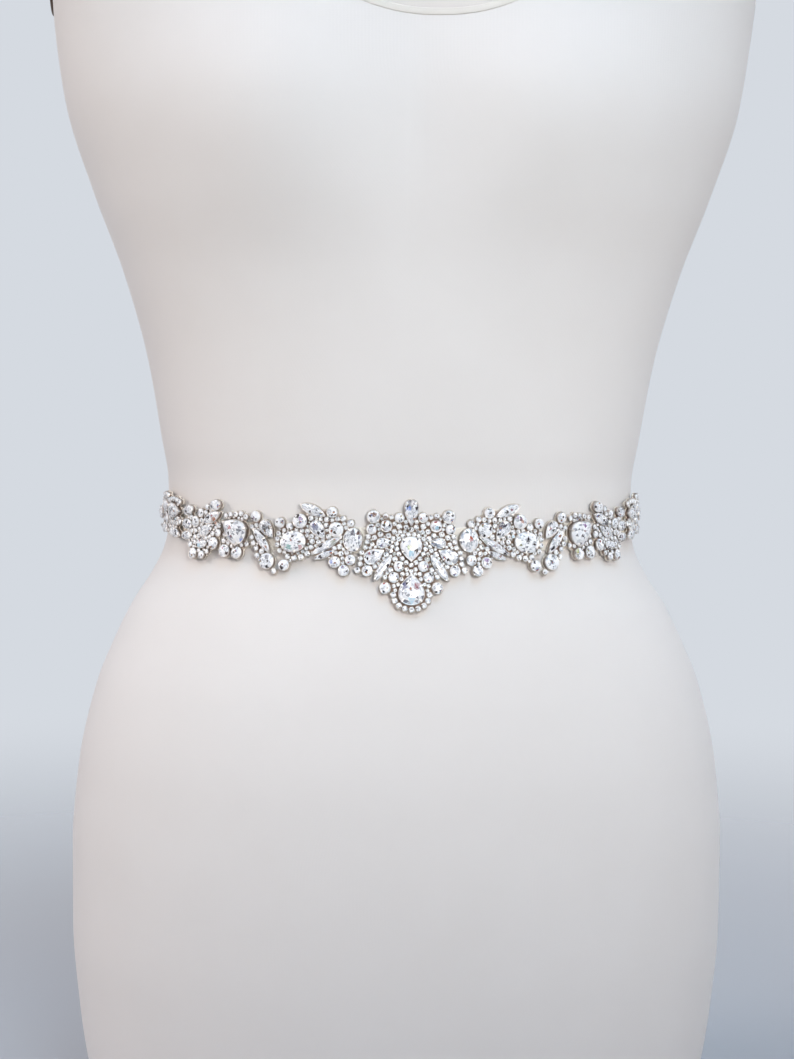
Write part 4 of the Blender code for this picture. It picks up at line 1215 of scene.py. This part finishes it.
for node, applique in appliques.items():
    edge = applique.edge
    low, high = edge.min(axis=0), edge.max(axis=0)
    s, v = np.meshgrid(np.arange(low[0], high[0], BACKING_GRID), np.arange(low[1], high[1], BACKING_GRID))
    filling = np.stack([s.ravel(), v.ravel()], axis=1)
    filling = filling[(distance_to(filling, edge) > BACKING_GRID_CLEAR) & inside(filling, edge)]
    plan, triangles = filled(np.concatenate([edge, filling]), [list(range(len(edge)))])
    underside = on_waist(plan[:, 0], plan[:, 1], np.full(len(plan), BACKING_OUT))
    backing = new_object(f"{node}_backing", underside, triangles, felt)
    # The share of painted shade at each point: its distance in from the edge over the shade's reach.
    layer = backing.data.attributes.new("gap_shade", "FLOAT", "POINT")
    layer.data.foreach_set("value", np.clip(distance_to(plan, edge) / GAP_SHADE_REACH, 0, 1))
    wall = backing.modifiers.new("Felt", "SOLIDIFY")
    wall.thickness = BACKING_THICKNESS * MM
    wall.offset = 1
    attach(backing, "root")
    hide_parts(node)


# ---- Claw settings -----------------------------------------------------------------
# Pressed brass cups, silver plated, one for each stone. A thin wall follows the stone's
# outline, its lip turns in over the girdle, and claws are bent over to hold the stone.

SEAT_OUT = BACKING_OUT + BACKING_THICKNESS
CHATON_MOST = 4
CHATON_CUP_SIDES = 8
# Facets round a stone, by the length that it stays under: more on a large or long one.
ROUND_FACETS = {4.2: 8, 6.5: 10, math.inf: 14}
LONG_FACETS = {9: 12, math.inf: 16}
GIRDLE_HEIGHT = 0.9
GIRDLE_PER_WIDTH = 0.16
CROWN_PER_WIDTH = 0.1
TABLE_SHARE = 0.6
RIM_WIDTH = 0.08
RIM_PER_WIDTH = 0.02
CLAW_WIDTH = 0.16
CLAW_PER_LENGTH = 0.065
CLAW_THICKNESS = 0.42
CLAW_SIDES = 6
CLAW_TURNS = {
    "round": (45, 135, 225, 315),
    "oval": (30, 90, 150, 210, 270, 330),
    "pear": (12, 348, 75, 285, 140, 220),
    "navette": (8, 352, 172, 188, 90, 270),
}
CHATON_CLAWS_TURNED = 22.5
BEAD_SIDES = 8
BEAD_LIFT = 0.3
SILVER_COLOUR = "#FFFFFF"
CLOUDED_COLOUR = "#E4DCD4"
# Tarnish and painted shade, low in the recesses between the cups.
TARNISH_AND_SHADE_COLOUR = "#8C7464"
CLOUDS_PER_METRE = 900
SHARP_ABOVE = 50


def stone_sides(stone):
    """Facets round a stone: those of the first length that it stays under."""
    facets = ROUND_FACETS if stone.cut == "round" else LONG_FACETS
    return next(sides for length, sides in facets.items() if stone.length < length)


def heights_of(stone):
    """How high a stone's girdle and table stand above the backing: taller on a wider one."""
    girdle = GIRDLE_HEIGHT + GIRDLE_PER_WIDTH * width_of(stone)
    return girdle, girdle + CROWN_PER_WIDTH * width_of(stone)


def rim_of(stone):
    """The thickness of a cup's lip: wider on a wider stone."""
    return RIM_WIDTH + RIM_PER_WIDTH * width_of(stone)


def raised(flat, height):
    """Flat points with the same height given to each."""
    return np.concatenate([flat, np.full((len(flat), 1), height)], axis=1)


def seated(stone, local):
    """A stone's own (x, y, z) points in the row frame, rigid in the plane of its seat."""
    s, v = float(stone.s), float(stone.v)
    centre = on_waist(s, v, SEAT_OUT)
    along = on_waist(s + 0.5, v, SEAT_OUT) - on_waist(s - 0.5, v, SEAT_OUT)
    along /= np.linalg.norm(along)
    outward = on_waist(s, v, SEAT_OUT + 1) - centre
    upward = np.cross(outward, along)
    flat = on_band(stone._replace(s=0, v=0), local[..., :2])
    return centre + flat[..., :1] * along + flat[..., 1:] * upward + local[..., 2:] * outward


def cup(stone):
    """A cup's wall: a closed profile of (inset, height, brightness) carried round the outline,
    the brightness worn and lit on top, with tarnish and painted shade low down."""
    girdle, _ = heights_of(stone)
    rim = rim_of(stone)
    profile = [
        (0.35 * rim, -0.1, 0.0),
        (0.0, 0.35 * girdle, 0.3),
        (0.0, girdle, 0.85),
        (0.4 * rim, girdle + 0.5 * rim, 1.0),
        (rim, girdle + 0.3 * rim, 1.0),
        (rim, -0.1, 0.0),
    ]
    sides = 2 * stone_sides(stone) if stone.length > CHATON_MOST else CHATON_CUP_SIDES
    turn = np.arange(sides) * 2 * math.pi / sides
    rings = [raised(outline(stone, turn, -inset), height) for inset, height, _ in profile]
    rubbed_and_lit = np.repeat([row[2] for row in profile], sides)
    return np.concatenate(rings), ring_faces(len(profile), sides), rubbed_and_lit


def claw(stone, degrees):
    """A claw: an oval section carried up the cup's wall and in over the crown.

    Each row of the path is (outwards, up) from the outline's foot, the section's share of
    the claw's width, and how bright it is: worn and lit above, with tarnish and painted shade
    at its foot. Each oval's second axis is the path's direction turned by a quarter.
    """
    girdle, table = heights_of(stone)
    rim = rim_of(stone)
    width = CLAW_WIDTH + CLAW_PER_LENGTH * stone.length
    thick = CLAW_THICKNESS * width
    slope = (table - girdle) / (width_of(stone) / 2 * (1 - TABLE_SHARE))
    rows = np.array([
        (0.0, 0.4 * girdle, 1.0, 0.3),
        (0.05, girdle, 1.0, 1.0),
        (-0.35 * rim, girdle + rim + 0.2 * thick, 1.0, 1.0),
        (-rim - 0.5 * width, girdle + 0.5 * width * slope + 0.4 * thick, 0.85, 1.0),
        (-rim - width, girdle + width * slope + 0.2 * thick, 0.5, 1.0),
    ])
    path, share, rubbed_and_lit = rows[:, :2], rows[:, 2], rows[:, 3]
    ahead = np.gradient(path, axis=0)
    ahead /= np.linalg.norm(ahead, axis=1, keepdims=True)
    turn = np.array([math.radians(degrees)])
    foot = outline(stone, turn)[0]
    out = outline(stone, turn, 1.0)[0] - foot
    side = np.array([-out[1], out[0]])
    around = -np.arange(CLAW_SIDES) * 2 * math.pi / CLAW_SIDES
    half_across = np.outer(share, np.cos(around)) * width / 2
    half_up = np.outer(share, np.sin(around)) * thick / 2
    level = path[:, :1] + half_up * ahead[:, 1:]
    height = path[:, 1:] - half_up * ahead[:, :1]
    flat = foot + half_across[..., None] * side + level[..., None] * out
    points = np.concatenate([flat, height[..., None]], axis=2).reshape(-1, 3)
    return points, tube_faces(len(path), CLAW_SIDES), np.repeat(rubbed_and_lit, CLAW_SIDES)


def bead(size):
    """A solid silver bead: rings of latitude about the way out, closed by a point at each end."""
    lift, turn = np.meshgrid([-45, 0, 45], np.arange(BEAD_SIDES) * 360 / BEAD_SIDES, indexing="ij")
    lift, turn = np.radians(lift), np.radians(turn)
    ball = np.stack([np.cos(lift) * np.cos(turn), np.cos(lift) * np.sin(turn), np.sin(lift)], axis=-1)
    points = np.concatenate([ball.reshape(-1, 3), [[0, 0, -1], [0, 0, 1]]]) * size / 2
    k = np.arange(BEAD_SIDES)
    after = (k + 1) % BEAD_SIDES
    low, high, last = 3 * BEAD_SIDES, 3 * BEAD_SIDES + 1, 2 * BEAD_SIDES
    faces = grid_faces(3, BEAD_SIDES, closed=True).tolist()
    faces += np.stack([0 * k + low, after, k], axis=1).tolist()
    faces += np.stack([0 * k + high, last + k, last + after], axis=1).tolist()
    return points + [0, 0, size / 2 + BEAD_LIFT], faces, np.ones(len(points))


def joined(parts):
    """Points, faces and values of several parts as one list of each."""
    points, faces, values = zip(*parts)
    starts = np.cumsum([0] + [len(own) for own in points[:-1]])
    faces = [[start + k for k in face] for own, start in zip(faces, starts) for face in own]
    return np.concatenate(points), faces, np.concatenate(values)


# Silver plate over brass: bright on the lips and claws, where it is worn and lit, and dark
# brown low in the recesses between the cups, partly tarnish and partly painted shade,
# which draws a thin line round each stone.
silver, shader = new_material("silver_plated_brass", {"Metallic": 1.0, "Roughness": 0.4})
tree = silver.node_tree
where = add_node(tree, "ShaderNodeTexCoord")
cloudy = noise(tree, where.outputs["Object"], CLOUDS_PER_METRE, 2.0)
plate = blend(tree, cloudy, SILVER_COLOUR, CLOUDED_COLOUR)
rubbed_and_lit = add_node(tree, "ShaderNodeAttribute", {"attribute_name": "rubbed_and_lit"})
worn_and_shaded = blend(tree, rubbed_and_lit.outputs["Fac"], TARNISH_AND_SHADE_COLOUR, plate)
tree.links.new(worn_and_shaded, shader.inputs["Base Color"])

for node, applique in appliques.items():
    parts = [(as_stone(place), bead(place.size)) for place in applique.beads]
    for stone in applique.stones + [as_stone(chaton) for chaton in applique.chatons]:
        parts.append((stone, cup(stone)))
        turned = CHATON_CLAWS_TURNED if stone.length < CHATON_MOST else 0
        parts += [(stone, claw(stone, degrees + turned)) for degrees in CLAW_TURNS[stone.cut]]
    points, faces, values = joined([(seated(stone, own), *rest) for stone, (own, *rest) in parts])
    settings = new_object(f"{node}_settings", points, faces, silver)
    settings.data.set_sharp_from_angle(angle=math.radians(SHARP_ABOVE))
    # How bright each point is drawn: worn and lit on top, tarnish and painted shade low down.
    layer = settings.data.attributes.new("rubbed_and_lit", "FLOAT", "POINT")
    layer.data.foreach_set("value", values)
    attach(settings, "root")


# ---- Crystals ----------------------------------------------------------------------
# Foil-backed cut glass: clear lead-free crystal with a mirror behind it. Each facet
# throws back another part of the room, and these reflections are painted into the facets'
# colours: among the white ones lie patches of grey, a few dark ones, and now and then a coloured one.

# Tones of the painted reflections: clear white, light shade, deep dark, grey and coloured flashes.
CLEAR = ("#FFFFFF", "#F8F9FC", "#FCFDFF", "#F0F2F6")
SHADE = ("#E4E6EA", "#F0F1F4", "#CACDD3", "#B0B3B8")
DEEP = ("#4E4A4E", "#332D30", "#6A6662", "#4A3E40")
GREY = ("#C4C7CD", "#A4A7AD", "#D6D9DE", "#868890")
GREY_SHARE = 0.24
GREY_ABOVE = 7
FLASH = ("#A6543F", "#8A5C45", "#7E94BA", "#8E84A4", "#8C8A5E", "#B58F6A")
# Patches of painted reflection on a stone: the tones they are drawn from, how many, their
# reach as a share of the stone's half length, and the most that reach can be. A chaton has only the first
# few.
PATCHES = [
    (SHADE, 1, 0.4, 1.6),
    (DEEP, 1, 0.2, 0.6),
    (SHADE, 2, 0.3, 1.2),
    (DEEP, 1, 0.2, 0.7),
    (FLASH, 1, 0.2, 0.6),
]
CHATON_PATCHES = 2
PATCHES_WITHIN = 0.8
GLINT_LEAST = 0.4
FIRST_SEED = 40
# The table is drawn slightly domed, so that its facets take the light one by one, as the
# facets of the back seen through it do.
TABLE_DOME = 0.025
CHATON_FACETS = 6

# Painted reflections of what the large stones show of the room, dark or coloured: for each
# tone, the places (s, v) on the sash that its glints lie round, and how far they reach.
GLINTS = {
    "#2A272B": [
        (-127, 8, 1.5), (-115.5, 9.5, 0.9), (-66.5, 5.5, 1.4), (-1, 7, 1.1), (2.5, 6, 1.0),
        (16.5, 13.5, 0.9), (53, 0, 1.2), (64.5, 8.5, 1.4), (65, -8, 1.2), (99, 6, 1.4),
        (109, -6, 0.9), (114.5, 0.5, 1.1),
    ],
    "#4E4854": [
        (-64, -9, 1.1), (-26, 4, 1.1), (-11, -4, 1.0), (-0.5, 18.5, 1.6), (1.5, 19.5, 1.3),
        (41, 8, 1.5),
    ],
    "#66688A": [(-43, 7, 1.6), (-3.5, -20.5, 1.4), (81, 9, 1.1)],
    "#9CA096": [(-34.5, -0.5, 1.4), (-7.5, -5.5, 1.2), (7.5, -6.5, 1.6), (33, -1, 1.4)],
    "#9EAABA": [(11.5, -0.5, 1.7), (22, 4, 1.8)],
    "#B6DCEE": [
        (-125, 4.5, 1.2), (-102, -7, 1.1), (0, -5, 1.3), (0, -27, 1.6), (11.5, 7.5, 0.9),
        (47.5, 2.5, 1.3),
    ],
    "#7490D2": [(-77.5, -1.5, 1.0), (-35.5, -9.5, 0.9), (-1.5, 16.5, 1.1)],
    "#64A8A4": [(-54.5, -3.5, 1.2), (146.5, 4, 0.9)],
    "#E2EDBA": [(-0.5, -2.5, 1.2)],
    "#A4A45A": [(78.5, -6.5, 1.1)],
    "#BA7856": [(-93.5, 6.5, 1.7), (50.5, 9.5, 0.8)],
    "#7E5A4A": [(-23.5, 4.5, 1.2), (-16.5, 13.5, 1.1), (-13, 6, 1.2), (-11.5, 11.5, 1.4)],
    "#A43C3C": [(-83.5, 4.5, 1.0), (-49, -3, 1.0), (11, 11, 1.2), (26.5, 1.5, 1.0)],
    "#A06A70": [(2.5, -20.5, 1.6)],
    "#8C6C9C": [(-49.5, 10.5, 0.9), (33.5, -8.5, 1.1), (48, 12, 1.1), (83, 6, 1.0)],
}


def crystal(stone):
    """A cut stone: its outline's rings from the girdle in to the table and its middle.

    Each ring is moved in by the rim, shrunk about the middle and raised, and every second
    one is turned by half a facet, so that the bands between them are triangles. A chaton
    has one ring fewer in its table, and fewer sides.
    """
    sides = stone_sides(stone) if stone.length > CHATON_MOST else CHATON_FACETS
    girdle, table = heights_of(stone)
    rim = rim_of(stone)
    dome = TABLE_DOME * width_of(stone)
    plan = [
        (0.0, 1.0, girdle + 0.15 * rim),
        (0.5, 0.5 + 0.5 * TABLE_SHARE, girdle + 0.55 * (table - girdle)),
        (0.0, TABLE_SHARE, table),
        (0.5, 0.65 * TABLE_SHARE, table + 0.5 * dome),
        (0.0, 0.3 * TABLE_SHARE, table + 0.9 * dome),
    ]
    if stone.length < CHATON_MOST:
        plan.pop()
    rings = []
    for shift, share, height in plan:
        turn = (np.arange(sides) + shift) * 2 * math.pi / sides
        rings.append(raised(outline(stone, turn, -0.9 * rim, share), height))
    points = np.concatenate([*rings, [[0, 0, table + dome], [0, 0, 0.6 * girdle]]])
    k = np.arange(sides)
    after = (k + 1) % sides
    bands = []
    for ring in range(len(plan) - 1):
        here, inner = ring * sides, (ring + 1) * sides
        first, second = (after, k) if ring % 2 else (k, after)
        bands.append(np.stack([here + k, here + after, inner + first], axis=1))
        bands.append(np.stack([here + second, inner + after, inner + k], axis=1))
    middle = len(plan) * sides
    bands.append(np.stack([middle - sides + k, middle - sides + after, 0 * k + middle], axis=1))
    bands.append(np.stack([after, k, 0 * k + middle + 1], axis=1))
    return points, np.concatenate(bands)


def picked(tones, count, chance):
    """Colours drawn from a few tones, as light's own proportions."""
    return np.array([linear(tone)[:3] for tone in tones])[chance.integers(len(tones), size=count)]


def facet_colours(stone, points, faces, chance):
    """A painted reflection for each facet: clear ones with grey among them, then patches about
    places drawn on the stone, then the painted glints that fall on it."""
    centres = points[faces].mean(axis=1)[:, :2]
    colours = picked(CLEAR, len(faces), chance)
    if stone.length > GREY_ABOVE:
        grey = chance.random(len(faces)) < GREY_SHARE
        colours[grey] = picked(GREY, grey.sum(), chance)
    patches = PATCHES if stone.length > CHATON_MOST else PATCHES[:CHATON_PATCHES]
    for tones, count, share, most in patches:
        for _ in range(count):
            turn = chance.uniform(0, 2 * math.pi, 1)
            place = outline(stone, turn, 0, PATCHES_WITHIN * math.sqrt(chance.random()))[0]
            near = np.hypot(*(centres - place).T) < min(share * stone.length / 2, most)
            colours[near] = picked(tones, near.sum(), chance)
    on_sash = on_band(stone, centres)
    for colour, places in GLINTS.items():
        for s, v, reach in places:
            near = np.hypot(on_sash[:, 0] - s, on_sash[:, 1] - v) < reach
            strength = chance.uniform(GLINT_LEAST, 1.0, (near.sum(), 1))
            colours[near] += strength * (picked([colour], near.sum(), chance) - colours[near])
    return colours


cut_glass, shader = new_material("foiled_cut_crystal", {
    "Roughness": 0.12,
    "IOR": 1.58,
    "Coat Weight": 0.25,
    "Coat Roughness": 0.05,
})
tree = cut_glass.node_tree
# The facets' painted reflections become the crystal's base colour.
painted_reflections = add_node(tree, "ShaderNodeAttribute", {"attribute_name": "painted_reflections"})
tree.links.new(painted_reflections.outputs["Color"], shader.inputs["Base Color"])

for number, (node, applique) in enumerate(appliques.items()):
    chance = np.random.default_rng(FIRST_SEED + number)
    parts = []
    for stone in applique.stones + [as_stone(chaton) for chaton in applique.chatons]:
        points, faces = crystal(stone)
        parts.append((seated(stone, points), faces.tolist(), facet_colours(stone, points, faces, chance)))
    points, faces, colours = joined(parts)
    crystals = new_object(f"{node}_crystals", points, faces, cut_glass, smooth=False)
    corners = np.repeat(colours, 3, axis=0)
    corners = np.concatenate([corners, np.ones((len(corners), 1))], axis=1)
    layer = crystals.data.color_attributes.new("painted_reflections", "FLOAT_COLOR", "CORNER")
    layer.data.foreach_set("color", corners.ravel())
    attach(crystals, "root")
